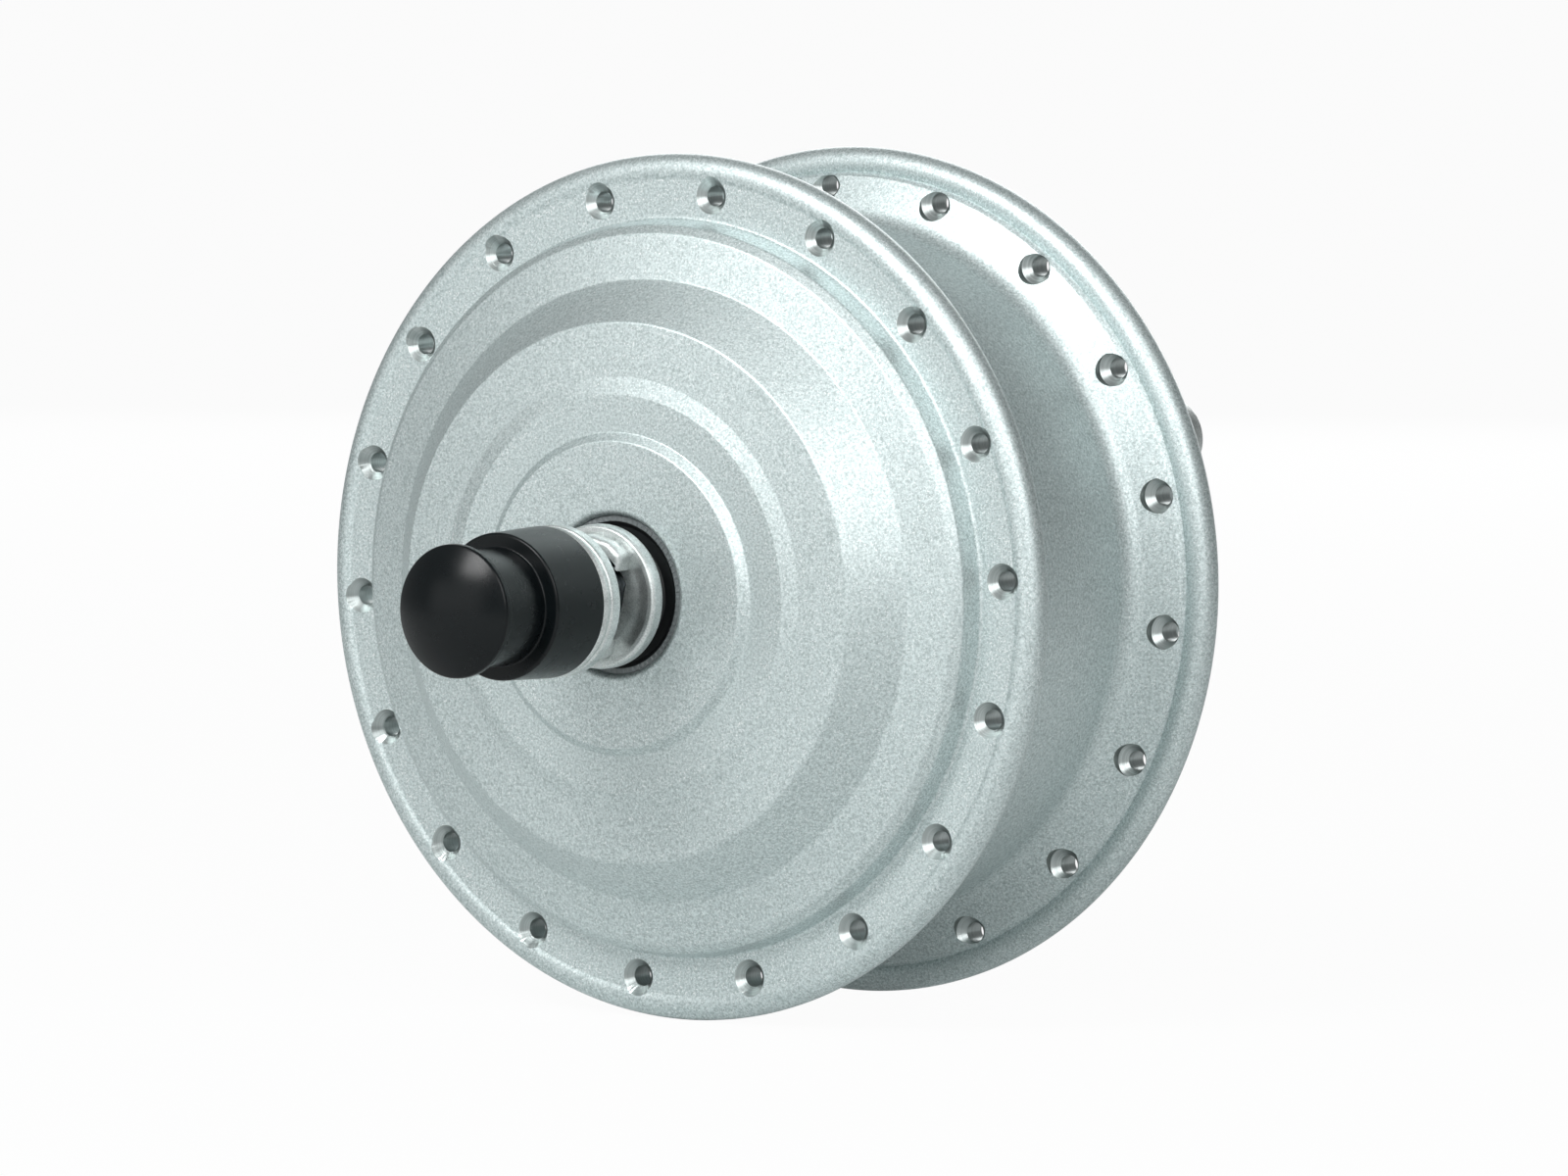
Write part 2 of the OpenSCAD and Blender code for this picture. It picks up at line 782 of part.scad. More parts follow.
// Washer with a raised key that stops the axle turning in the dropout's slot
module keyed_washer() {
    color("lightgray")
        difference() {
            union() {
                turned([
                    [0, keyed_back],
                    [keyed_washer_d / 2, keyed_back],
                    [keyed_washer_d / 2, seat - 0.8],
                    [keyed_washer_d / 2 - 0.3, seat - 0.25],
                    [keyed_washer_d / 2 - 0.9, seat],
                    [0, seat]
                ]);
                plate(seat - eps, seat + key_h)
                    flatted(key_d, flats_w);
            }
            axle_hole(keyed_back, seat + key_h);
        }
}

// Hole with two flats that fits over the axle's end
module axle_hole(from, to) {
    plate(from - 1, to + 1)
        flatted(thread_d + 2 * fit_gap, flats_w + 2 * fit_gap);
}

module near_keyed_washer() { near_end() keyed_washer(); }
module far_keyed_washer() { keyed_washer(); }

module flat_washer() {
    r = flat_washer_d / 2;
    color("lightgray")
        turned([
            [thread_r + fit_gap, flat_washer_0],
            [r, flat_washer_0],
            [r, flat_washer_1 - washer_chamfer],
            [r - washer_chamfer, flat_washer_1],
            [thread_r + fit_gap, flat_washer_1]
        ]);
}

module near_flat_washer() { near_end() flat_washer(); }
module far_flat_washer() { flat_washer(); }

// Flanged hexagon nut
module nut() {
    color("darkgray")
        difference() {
            union() {
                turned([
                    [0, flat_washer_1],
                    [nut_flange_d / 2, flat_washer_1],
                    [nut_flange_d / 2, flat_washer_1 + 0.4 * nut_flange_t],
                    [nut_flange_d / 2 - 0.6, nut_hex_0],
                    [0, nut_hex_0]
                ]);
                translate([0, nut_hex_0 - eps, 0])
                    rotate([-90, 0, 0])
                        cylinder(r = nut_corner_r, h = nut_h + eps, $fn = 6);
            }
            rod(thread_r + fit_gap, flat_washer_1 - 1, nut_1 + 1);
        }
}
module near_nut() { near_end() nut(); }
module far_nut() { nut(); }

// Outline of the torque arm: two round ends and their common tangents
module arm_outline() {
    root_r = arm_root_d / 2;
    tip_r = arm_tip_d / 2;
    lean = acos((root_r - tip_r) / arm_l);
    polygon(concat(
        arc([0, 0], root_r, lean, 360 - lean, 48),
        arc([arm_l, 0], tip_r, -lean, lean, 24)
    ));
}

module torque_arm() {
    color("silver")
        difference() {
            plate(flat_washer_0 - arm_t, flat_washer_0)
                rotate(arm_angle)
                    arm_outline();
            axle_hole(flat_washer_0 - arm_t, flat_washer_0);
            rotate([0, -arm_angle, 0])
                translate([arm_l, 0, 0])
                    rod(arm_hole_d / 2, flat_washer_0 - arm_t - 1, flat_washer_0 + 1);
        }
}

// Rubber grommet in the mouth of the axle's cable bore
module cable_grommet() {
    color("black")
        turned([
            [grommet_hole_d / 2, axle_half - 7],
            [cable_bore_d / 2 - fit_gap, axle_half - 7],
            [cable_bore_d / 2 - fit_gap, axle_half],
            [thread_r - 0.8, axle_half],
            [thread_r - 1.4, axle_half + 1.4],
            [grommet_hole_d / 2, axle_half + 1.4]
        ]);
}

// Plastic cap over the nut: a collar, a neck and a domed end with a hole of the given radius
module nut_cap(hole_r) {
    base_r = cap_base_d / 2;
    collar_r = cap_collar_d / 2;
    neck_r = cap_neck_d / 2;
    dome_r = cap_dome_d / 2;
    sphere_r = (dome_r * dome_r + cap_dome_h * cap_dome_h) / 2 / cap_dome_h;
    tip = dome_0 + cap_dome_h;
    rim_angle = asin(dome_r / sphere_r);
    socket_r = nut_corner_r + fit_gap;
    hollow_r = neck_r - cap_wall;
    hollow_end = dome_0 - cap_end_wall;
    color([0.13, 0.14, 0.15])
        difference() {
            turned(concat(
                [[0, cap_0], [base_r, cap_0]],
                arc([collar_r - cap_edge, collar_end - cap_edge], cap_edge, 10, 90, 3),
                arc([neck_r + cap_edge, collar_end + cap_edge], cap_edge, 270, 180, 3),
                [[neck_r, dome_0 - 2 * (dome_r - neck_r)]],
                arc([dome_r - dome_rim, dome_0 - dome_rim], dome_rim, -60, 20, 4),
                arc([0, tip - sphere_r], sphere_r, 90 - rim_angle + 2, 90, 12)
            ));
            turned([
                [0, cap_0 - 1],
                [socket_r, cap_0 - 1],
                [socket_r, nut_1 + 0.3],
                [hollow_r, nut_1 + 0.3],
                [hollow_r, hollow_end],
                [0, hollow_end]
            ]);
            if (hole_r > 0)
                rod(hole_r, hollow_end - 1, tip + 1);
        }
}

module near_nut_cap() { near_end() nut_cap(0); }
module far_nut_cap() { nut_cap(cap_hole_d / 2); }

// Copies the children to each planet's place
module at_planets() {
    around(planets, planet_phase)
        translate([0, 0, arm_r])
            children();
}

module clutch_inner_ring() {
    color("slategray")
        ring(shaft_r, clutch_r, clutch_0, clutch_1);
}

module clutch_rollers() {
    color("silver")
        around(roller_n)
            translate([0, 0, roller_ring_r])
                rod(roller_r, clutch_0 + roller_inset, clutch_1 - roller_inset);
}

// Small springs that push each roller into its wedge
module clutch_springs() {
    color("goldenrod")
        around(roller_n, (lug_from + roller_half_angle) / 2)
            translate([-spring_l / 2, (clutch_0 + clutch_1) / 2, roller_ring_r])
                rotate([0, 90, 0])
                    cylinder(r = spring_r, h = spring_l, $fn = 24);
}

// Plate with the clutch's outer ring and the holes for the planet pins
module planet_carrier() {
    lug_r = clutch_r + run_gap;
    color("slategray") {
        difference() {
            union() {
                rod(carrier_hub_d / 2, carrier_0, carrier_1);
                rod(carrier_d / 2, plate_0, carrier_1);
            }
            plate(carrier_0 - 1, carrier_1 + 1)
                difference() {
                    circle(r = clutch_bore_r);
                    for (i = [0 : roller_n - 1])
                        rotate(90 - lug_to - i * 360 / roller_n)
                            lug_shape(lug_r);
                }
            at_planets()
                rod(pin_d / 2 + fit_gap, plate_0 - 1, carrier_1 + 1);
        }
    }
}

// Sector between the clutch rollers, from the given radius outwards
module lug_shape(inner_r) {
    outer_r = clutch_bore_r + 2;
    wide = lug_to - lug_from;
    difference() {
        polygon([
            [0, 0],
            [outer_r, 0],
            [outer_r * cos(wide), outer_r * sin(wide)]
        ]);
        circle(r = inner_r);
    }
}

module planet_pins() {
    color("silver")
        at_planets()
            difference() {
                rod(pin_d / 2, plate_0, planet_1 + pin_clip_t + 0.3);
                ring(pin_d / 2 - pin_groove, pin_d / 2 + 1, pin_clip_0, pin_clip_0 + pin_clip_t + fit_gap);
            }
}

// Nylon ring behind the carrier and washers under the planets
module thrust_washers() {
    color("ivory") {
        ring(boss_r - 3, boss_r - 0.5, clutch_0 + bearing_gap, carrier_0);
        at_planets()
            ring(pin_d / 2 + fit_gap, pin_d / 2 + 4, carrier_1, planet_0 - 0.1);
    }
}

// Open ring that springs into a groove
module clip(inner, outer, from, to) {
    difference() {
        ring(inner, outer, from, to);
        translate([0, from - 1, 0])
            cube([outer + 1, to - from + 2, 0.8 * inner]);
    }
}

module pin_clips() {
    color("dimgray")
        at_planets()
            clip(pin_d / 2 - pin_groove + fit_gap, pin_d / 2 + 1.2, pin_clip_0, pin_clip_0 + pin_clip_t);
}

module axle_clips() {
    color("dimgray")
        for (y = [clutch_1, rotor_clip_0])
            clip(shaft_r - shaft_groove + fit_gap, shaft_r + 2, y, y + clip_t);
}

module planet_gear(i) {
    a = planet_angle(i);
    color("ivory")
        translate([arm_r * cos(a), 0, arm_r * sin(a)])
            difference() {
                gear(planet_teeth, planet_0, planet_1, a + 180 + 180 / planet_teeth);
                rod(planet_bore_d / 2, planet_0 - 1, planet_1 + 1);
            }
}

module planet_bush(i) {
    a = planet_angle(i);
    color("peru")
        translate([arm_r * cos(a), 0, arm_r * sin(a)])
            ring(pin_d / 2 + bearing_gap, planet_bore_d / 2, planet_0, planet_1);
}

module planet_gear_1() { planet_gear(0); }
module planet_gear_2() { planet_gear(1); }
module planet_gear_3() { planet_gear(2); }
module planet_bush_1() { planet_bush(0); }
module planet_bush_2() { planet_bush(1); }
module planet_bush_3() { planet_bush(2); }

module sun_gear() {
    color("dimgray")
        difference() {
            union() {
                gear(sun_teeth, planet_0 + 0.1, bell_0 + eps, planet_angle(0));
                rod(rotor_bearing_r - fit_gap, bell_0, bell_0 + spigot_t);
            }
            rod(shaft_r + run_gap, planet_0 - 1, bell_0 + spigot_t + 1);
            rod(shaft_r + 2.6, bell_0, bell_0 + spigot_t + 1);
        }
}

module rotor_bell() {
    color("gray")
        difference() {
            union() {
                ring(rotor_bearing_r, rotor_hub_r, bell_0, rotor_hub_1);
                ring(rotor_bearing_r, bell_r, bell_0, bell_1);
                ring(magnet_out_r, bell_r, bell_0, core_1 + 1);
            }
            around(bell_holes)
                translate([0, 0, (rotor_hub_r + magnet_in_r) / 2])
                    rod(bell_hole_r, bell_0 - 1, bell_1 + 1);
        }
}

// Block magnets with faces curved to the bell and to the air gap
module magnets() {
    side = PI * (magnet_out_r + magnet_in_r) / magnet_n - magnet_space;
    color("darkgray")
        for (i = [0 : magnet_n - 1])
            plate(core_0 - 1, core_1 + 1)
                rotate(i * 360 / magnet_n)
                    intersection() {
                        difference() {
                            circle(r = magnet_out_r);
                            circle(r = magnet_in_r);
                        }
                        translate([0, -side / 2])
                            square([magnet_out_r + 1, side]);
                    }
}

// Spider that carries the stator on the shaft
module stator_support() {
    color("lightsteelblue")
        difference() {
            union() {
                ring(shaft_r + fit_gap, shaft_r + 1.7, support_0, support_0 + support_lip + eps);
                ring(shaft_r + fit_gap, support_hub_r, support_0 + support_lip, support_1);
                ring(support_hub_r - eps, support_rim_r + eps, support_1 - support_web_t, support_1);
                ring(support_rim_r, core_in_r - fit_gap, core_0 + 1, support_1);
            }
            around(support_holes, 180 / support_holes)
                translate([0, 0, (support_rim_r + support_hub_r) / 2])
                    rod(support_hole_r, support_1 - support_web_t - 1, support_1 + 1);
            translate([-key_slot[0] / 2 - fit_gap, support_0 - 1, 0])
                cube([key_slot[0] + 2 * fit_gap, support_1 - support_0 + 2, shaft_r + key_slot[1]]);
        }
}

module stator_key() {
    color("silver")
        translate([-key_slot[0] / 2 + fit_gap, support_0 + 2 + fit_gap, shaft_r - key_slot[1] + fit_gap])
            cube([key_slot[0] - 2 * fit_gap, key_slot[2] - 2 * fit_gap, 2 * key_slot[1] - 2 * fit_gap]);
}

// Flat shape of one lamination: a yoke with teeth that widen into shoes
module lamination() {
    half = 180 / tooth_n;
    slot_end = core_r - shoe_t;
    floor_y = (slot_floor_r * sin(half) - tooth_w / 2) / cos(half);
    end_y = (slot_end * sin(half) - tooth_w / 2) / cos(half);
    difference() {
        circle(r = core_r);
        circle(r = core_in_r);
        for (i = [0 : tooth_n - 1])
            rotate((i + 0.5) * 360 / tooth_n)
                polygon([
                    [slot_floor_r, -floor_y],
                    [slot_end, -end_y],
                    [slot_end, -slot_opening / 2],
                    [core_r + 1, -slot_opening / 2],
                    [core_r + 1, slot_opening / 2],
                    [slot_end, slot_opening / 2],
                    [slot_end, end_y],
                    [slot_floor_r, floor_y]
                ]);
    }
}

module stator_core() {
    color("dimgray")
        plate(core_0, core_1)
            lamination();
}

module slot_insulators() {
    color("seagreen") {
        plate(core_0 - insulator_t, core_0)
            lamination();
        plate(core_1, core_1 + insulator_t)
            lamination();
    }
}

// One closed coil round each tooth, drawn as a solid ring
module stator_windings() {
    half = 180 / tooth_n;
    from_r = slot_floor_r + 0.5;
    to_r = core_r - shoe_t - 0.4;
    from_y = from_r * tan(half) - 0.3;
    to_y = to_r * tan(half) - 0.3;
    inner_y = tooth_w / 2 + 0.2;
    color("peru")
        around(tooth_n, 90)
            difference() {
                plate(coil_0, coil_1)
                    rotate(90)
                        polygon([[from_r, -from_y], [to_r, -to_y], [to_r, to_y], [from_r, from_y]]);
                plate(core_0 - insulator_t, core_1 + insulator_t)
                    rotate(90)
                        translate([from_r - 1, -inner_y])
                            square([to_r - from_r + 2, 2 * inner_y]);
            }
}

module hall_board() {
    color("darkgreen")
        ring(board_in_r, board_out_r, board_0, board_0 + board_t);
}

module hall_sensors() {
    color("black")
        for (a = [-sensor_step, 0, sensor_step])
            rotate([0, 180 + a, 0])
                translate([-sensor_w / 2, board_0 + board_t, board_in_r + sensor_rise])
                    cube([sensor_w, sensor_t, sensor_h]);
}

// Short leads from the board's inner edge into the axle's cable bore
module motor_leads() {
    color("gold")
        for (x = [-lead_pitch, 0, lead_pitch])
            translate([x, lead_slot_1 - lead_drop, 1])
                cylinder(r = lead_r, h = board_in_r - 1 - 0.2, $fn = 24);
}

hub_shell();
side_cover();
cover_gasket();
cover_screws();
ring_gear();
near_bearing_outer_race();
far_bearing_outer_race();
near_seal();
far_seal();
axle();
near_keyed_washer();
far_keyed_washer();
near_flat_washer();
far_flat_washer();
near_nut();
far_nut();
torque_arm();
cable_grommet();
near_nut_cap();
far_nut_cap();
near_bearing_inner_race();
far_bearing_inner_race();
near_bearing_balls();
far_bearing_balls();
near_bearing_cage();
far_bearing_cage();
clutch_inner_ring();
clutch_rollers();
clutch_springs();
planet_carrier();
planet_pins();
thrust_washers();
pin_clips();
axle_clips();
planet_gear_1();
planet_gear_2();
planet_gear_3();
planet_bush_1();
planet_bush_2();
planet_bush_3();
sun_gear();
rotor_bell();
magnets();
rotor_bearing_inner_races();
rotor_bearing_outer_races();
rotor_bearing_balls();
rotor_bearing_cages();
stator_support();
stator_core();
slot_insulators();
stator_windings();
stator_key();
hall_board();
hall_sensors();
motor_leads();
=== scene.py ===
import math

import bmesh
import bpy
import numpy as np
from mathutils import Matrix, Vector


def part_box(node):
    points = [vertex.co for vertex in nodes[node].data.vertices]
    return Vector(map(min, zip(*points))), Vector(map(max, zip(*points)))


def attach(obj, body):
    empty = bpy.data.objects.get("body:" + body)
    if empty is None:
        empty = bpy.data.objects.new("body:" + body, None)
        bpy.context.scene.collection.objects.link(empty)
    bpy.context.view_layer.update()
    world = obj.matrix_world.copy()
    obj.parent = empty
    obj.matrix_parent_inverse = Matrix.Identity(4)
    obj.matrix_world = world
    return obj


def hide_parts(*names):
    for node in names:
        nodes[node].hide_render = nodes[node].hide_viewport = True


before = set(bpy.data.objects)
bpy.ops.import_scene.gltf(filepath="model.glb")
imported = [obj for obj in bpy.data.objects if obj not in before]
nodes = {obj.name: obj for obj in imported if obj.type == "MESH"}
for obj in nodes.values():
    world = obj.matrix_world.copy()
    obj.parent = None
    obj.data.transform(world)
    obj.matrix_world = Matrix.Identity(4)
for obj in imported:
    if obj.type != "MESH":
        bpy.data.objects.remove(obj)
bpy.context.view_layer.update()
MM = 0.001

# Camera and studio.
# The picture is a catalogue shot with a long lens, slightly above the axle. The camera stands where
# the spoke holes of both flanges fall on their places in the picture of 1600 by 1200.
SENSOR = 36.0
FOCAL_PIXELS = 9573.7
CAMERA_PLACE = (856.4 * MM, -1210.0 * MM, 106.5 * MM)
CAMERA_TURN = (85.833, 0.101, 35.2125)

camera_data = bpy.data.cameras.new("camera")
camera_data.sensor_width = SENSOR
camera_data.lens = SENSOR * FOCAL_PIXELS / 1600
camera_data.clip_start = 0.05
camera_data.clip_end = 200.0
camera = bpy.data.objects.new("camera", camera_data)
camera.location = CAMERA_PLACE
camera.rotation_euler = [math.radians(a) for a in CAMERA_TURN]
bpy.context.scene.collection.objects.link(camera)
bpy.context.scene.camera = camera
bpy.context.scene.view_settings.view_transform = "Standard"


def linear(hex_code):
    """Linear colour of an sRGB hex code, each channel taken through the sRGB curve."""
    c = np.array([int(hex_code[i : i + 2], 16) for i in (1, 3, 5)]) / 255
    c = np.where(c <= 0.04045, c / 12.92, ((c + 0.055) / 1.055) ** 2.4)
    return (*c.tolist(), 1.0)


def add(tree, kind, inputs=None, **settings):
    """Adds one shader node; inputs holds a value or another node's output for each of its sockets."""
    made = tree.nodes.new(kind)
    for name, value in settings.items():
        setattr(made, name, value)
    for name, value in (inputs or {}).items():
        if isinstance(value, bpy.types.NodeSocket):
            tree.links.new(value, made.inputs[name])
        else:
            made.inputs[name].default_value = value
    return made


def new_material(name):
    """An empty node material and its tree."""
    made = bpy.data.materials.new(name)
    made.use_nodes = True
    made.node_tree.nodes.clear()
    return made, made.node_tree


def grid_mesh(name, points, closed_u=True, closed_v=False):
    """A mesh over a grid of points [v, u, xyz]: each four neighbours make a face."""
    rows, columns = points.shape[:2]
    v = np.arange(rows if closed_v else rows - 1)[:, None]
    u = np.arange(columns if closed_u else columns - 1)[None, :]
    v1, u1 = (v + 1) % rows, (u + 1) % columns
    quads = np.stack(
        [v * columns + u, v * columns + u1, v1 * columns + u1, v1 * columns + u], -1
    ).reshape(-1, 4)
    mesh = bpy.data.meshes.new(name)
    mesh.from_pydata(points.reshape(-1, 3).tolist(), [], quads.tolist())
    return mesh


# Room: bright white to the camera and through clear things, dim in its light on the hub.
ROOM_LIGHT = 0.16
ROOM_MIRRORED = 0.12
world = bpy.data.worlds.new("studio")
world.use_nodes = True
tree = world.node_tree
tree.nodes.clear()
ray = add(tree, "ShaderNodeLightPath")
clear = add(tree, "ShaderNodeMath", {0: ray.outputs["Is Camera Ray"], 1: ray.outputs["Is Transmission Ray"]},
            operation="MAXIMUM")
mirrored = add(tree, "ShaderNodeMath", {0: ray.outputs["Is Glossy Ray"], 1: ROOM_MIRRORED},
               operation="MULTIPLY")
share = add(tree, "ShaderNodeMath", {0: clear.outputs[0], 1: mirrored.outputs[0]}, operation="MAXIMUM")
room = add(tree, "ShaderNodeBackground", {"Color": linear("#DCE3E3"), "Strength": ROOM_LIGHT})
white = add(tree, "ShaderNodeBackground", {"Color": (1, 1, 1, 1), "Strength": 1.0})
mixed = add(tree, "ShaderNodeMixShader", {0: share.outputs[0], 1: room.outputs[0], 2: white.outputs[0]})
add(tree, "ShaderNodeOutputWorld", {"Surface": mixed.outputs[0]})
bpy.context.scene.world = world

# Floor: the hub stands on the rims of its two flanges, so the floor touches them.
FLOOR_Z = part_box("hub_shell")[0][2]
FLOOR_SEEN = 0.96
FLOOR_MIRRORED = 0.15
floor_material, tree = new_material("studio_floor")
ray = add(tree, "ShaderNodeLightPath")
paper = add(tree, "ShaderNodeBsdfDiffuse", {"Color": linear("#D3D6D6")})
glow = add(tree, "ShaderNodeEmission", {"Color": (1, 1, 1, 1), "Strength": 1.0})
clear = add(tree, "ShaderNodeMath", {0: ray.outputs["Is Camera Ray"], 1: FLOOR_SEEN},
            operation="MULTIPLY")
mirrored = add(tree, "ShaderNodeMath", {0: ray.outputs["Is Glossy Ray"], 1: FLOOR_MIRRORED},
               operation="MULTIPLY")
share = add(tree, "ShaderNodeMath", {0: clear.outputs[0], 1: mirrored.outputs[0]}, operation="MAXIMUM")
mixed = add(tree, "ShaderNodeMixShader", {0: share.outputs[0], 1: paper.outputs[0], 2: glow.outputs[0]})
add(tree, "ShaderNodeOutputMaterial", {"Surface": mixed.outputs[0]})
side = np.linspace(-40.0, 40.0, 2)
x, y = np.meshgrid(side, side)
floor_mesh = grid_mesh("floor", np.stack([x, y, 0 * x + FLOOR_Z], -1), closed_u=False)
floor_mesh.materials.append(floor_material)
floor = bpy.data.objects.new("floor", floor_mesh)
bpy.context.scene.collection.objects.link(floor)


def softbox(name, azimuth, elevation, distance, size, power):
    """A rectangular lamp aimed at the hub from an azimuth (0 = from -Y, 90 = from +X) and an elevation."""
    data = bpy.data.lights.new(name, "AREA")
    data.shape = "RECTANGLE"
    data.size, data.size_y = size
    data.energy = power
    lamp = bpy.data.objects.new(name, data)
    a, e = math.radians(azimuth), math.radians(elevation)
    away = Vector((math.sin(a) * math.cos(e), -math.cos(a) * math.cos(e), math.sin(e)))
    lamp.location = away * distance
    lamp.rotation_euler = away.to_track_quat("Z", "Y").to_euler()
    bpy.context.scene.collection.objects.link(lamp)


softbox("key", -6, 40, 1.0, (0.4, 0.4), 6.5)
softbox("fill", 52, 29, 0.9, (0.6, 0.6), 3.6)
softbox("front", -20, 2, 1.6, (1.6, 1.0), 4.0)
softbox("back", 205, 20, 1.6, (1.2, 1.0), 11.0)

# Axle.
# Turned steel bar, 15 mm in the bearings, with M12 threads rolled on both ends and two flats milled
# across them for the fork. The cable end is drilled.
SHAFT_R = 7.5
THREAD_R = 6.0
THREAD_PITCH = 1.25
FLATS_HALF = 5.0
AXLE_TURN = math.radians(13)
AXLE_END = 75.0
SHAFT_END = 44.9
THREAD_DEPTH = 0.61 * THREAD_PITCH
THREAD_FLANK = 2.6
THREAD_CREST = 0.15
THREAD_STEPS = 160
THREAD_ROWS = 9
END_CHAMFER = 1.1
BORE_R = 3.6
BORE_START = 24.0
COLLAR = (10.0, 22.0, 24.0)


def weld(mesh, reach=0.001, thin=0.0):
    """Joins points closer than reach mm, drops slivers thinner than thin mm and points faces outwards."""
    work = bmesh.new()
    work.from_mesh(mesh)
    bmesh.ops.remove_doubles(work, verts=work.verts, dist=reach * MM)
    if thin:
        bmesh.ops.dissolve_degenerate(work, edges=work.edges, dist=thin * MM)
    bmesh.ops.recalc_face_normals(work, faces=work.faces)
    work.to_mesh(mesh)
    work.free()


def stand(name, mesh, body, replaced, sharp=32):
    """Shades a mesh smooth up to an angle and puts it on a body in place of CAD nodes."""
    mesh.shade_smooth()
    mesh.set_sharp_from_angle(angle=math.radians(sharp))
    piece = bpy.data.objects.new(name, mesh)
    bpy.context.scene.collection.objects.link(piece)
    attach(piece, body)
    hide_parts(*replaced)


def place(name, mesh, body, material, replaced, sharp=32):
    """Welds a mesh, gives it its material and puts it on a body."""
    weld(mesh, reach=0.002, thin=0.001)
    mesh.materials.append(material)
    stand(name, mesh, body, replaced, sharp)


def rounded(points, steps=6):
    """A profile of corners [r, y, radius]: each corner gives way to an arc that is tangent to both sides."""
    made = []
    for before, here, after in zip([points[0]] + points[:-1], points, points[1:] + [points[-1]]):
        p = np.array(here[:2], float)
        radius = here[2] if len(here) > 2 else 0
        a, b = np.array(before[:2]) - p, np.array(after[:2]) - p
        la, lb = np.linalg.norm(a), np.linalg.norm(b)
        if radius <= 0 or la < 1e-9 or lb < 1e-9:
            made.append(p)
            continue
        a, b = a / la, b / lb
        half = math.acos(np.clip(a @ b, -1, 1)) / 2
        reach = min(radius / math.tan(half), 0.49 * la, 0.49 * lb)
        radius = reach * math.tan(half)
        centre = p + (a + b) / np.linalg.norm(a + b) * radius / math.sin(half)
        start, end = p + a * reach - centre, p + b * reach - centre
        turn = math.atan2(start[0] * end[1] - start[1] * end[0], start @ end)
        t = np.linspace(0, turn, steps + 1)
        c, s = np.cos(t), np.sin(t)
        made.extend(centre + np.stack([start[0] * c - start[1] * s, start[0] * s + start[1] * c], -1))
    return np.array(made)


def dense(profile, longest, edge=0.12):
    """The same profile with more points: two close to each end of a long side and the rest evenly."""
    out = [profile[0]]
    for a, b in zip(profile[:-1], profile[1:]):
        length = np.linalg.norm(b - a)
        if length > 4 * edge:
            inside = np.linspace(edge, length - edge, max(2, int(length / longest) + 1))
            out.extend(a + (b - a) * (inside / length)[:, None])
        out.append(b)
    return np.array(out)


def turned(name, profile, steps=256, closed=True):
    """A surface of revolution round Y: each profile point (r, y) runs round a circle of radius r."""
    angle = np.linspace(0, 2 * math.pi, steps, endpoint=False)
    r, y = profile[:, 0][:, None], profile[:, 1][:, None]
    points = np.stack([r * np.sin(angle), y + 0 * angle, r * np.cos(angle)], -1) * MM
    return grid_mesh(name, points, closed_v=closed)


def joined(name, meshes):
    """One mesh from several."""
    work = bmesh.new()
    for mesh in meshes:
        work.from_mesh(mesh)
        bpy.data.meshes.remove(mesh)
    mesh = bpy.data.meshes.new(name)
    work.to_mesh(mesh)
    work.free()
    return mesh


# Turned steel: a grey metal with fine lathe lines round the bar. The threads beyond the shaft are
# painted dark, as painted shade for the shadow between the washers, nuts and caps.
axle_steel, tree = new_material("turned_steel")
where = add(tree, "ShaderNodeTexCoord")
lines = add(tree, "ShaderNodeMapping", {"Vector": where.outputs["Object"], "Scale": (60, 9000, 60)})
lathe = add(tree, "ShaderNodeTexNoise", {"Vector": lines.outputs[0], "Scale": 1.0, "Detail": 3.0})
patches = add(tree, "ShaderNodeTexNoise", {"Vector": where.outputs["Object"], "Scale": 260.0, "Detail": 4.0})
steel = add(tree, "ShaderNodeMix", {"Factor": patches.outputs[0], 6: linear("#74797B"), 7: linear("#969B9C")},
            data_type="RGBA")
axes = add(tree, "ShaderNodeSeparateXYZ", {0: where.outputs["Object"]})
off = add(tree, "ShaderNodeMath", {0: axes.outputs["Y"]}, operation="ABSOLUTE")
# Painted shade: past the end of the shaft the threads are painted dark.
thread_shade = add(tree, "ShaderNodeMapRange", {"Value": off.outputs[0], "From Min": SHAFT_END * MM,
            "From Max": (SHAFT_END + 0.3) * MM})
tone = add(tree, "ShaderNodeMix", {"Factor": thread_shade.outputs[0], 6: steel.outputs[2], 7: linear("#34383A")},
           data_type="RGBA")
rough = add(tree, "ShaderNodeMapRange", {"Value": lathe.outputs[0], "To Min": 0.26, "To Max": 0.46})
bump = add(tree, "ShaderNodeBump", {"Height": lathe.outputs[0], "Strength": 0.25, "Distance": 0.00004})
metal = add(tree, "ShaderNodeBsdfPrincipled", {"Base Color": tone.outputs[2], "Metallic": 1.0,
            "Roughness": rough.outputs[0], "Normal": bump.outputs[0]})
add(tree, "ShaderNodeOutputMaterial", {"Surface": metal.outputs[0]})


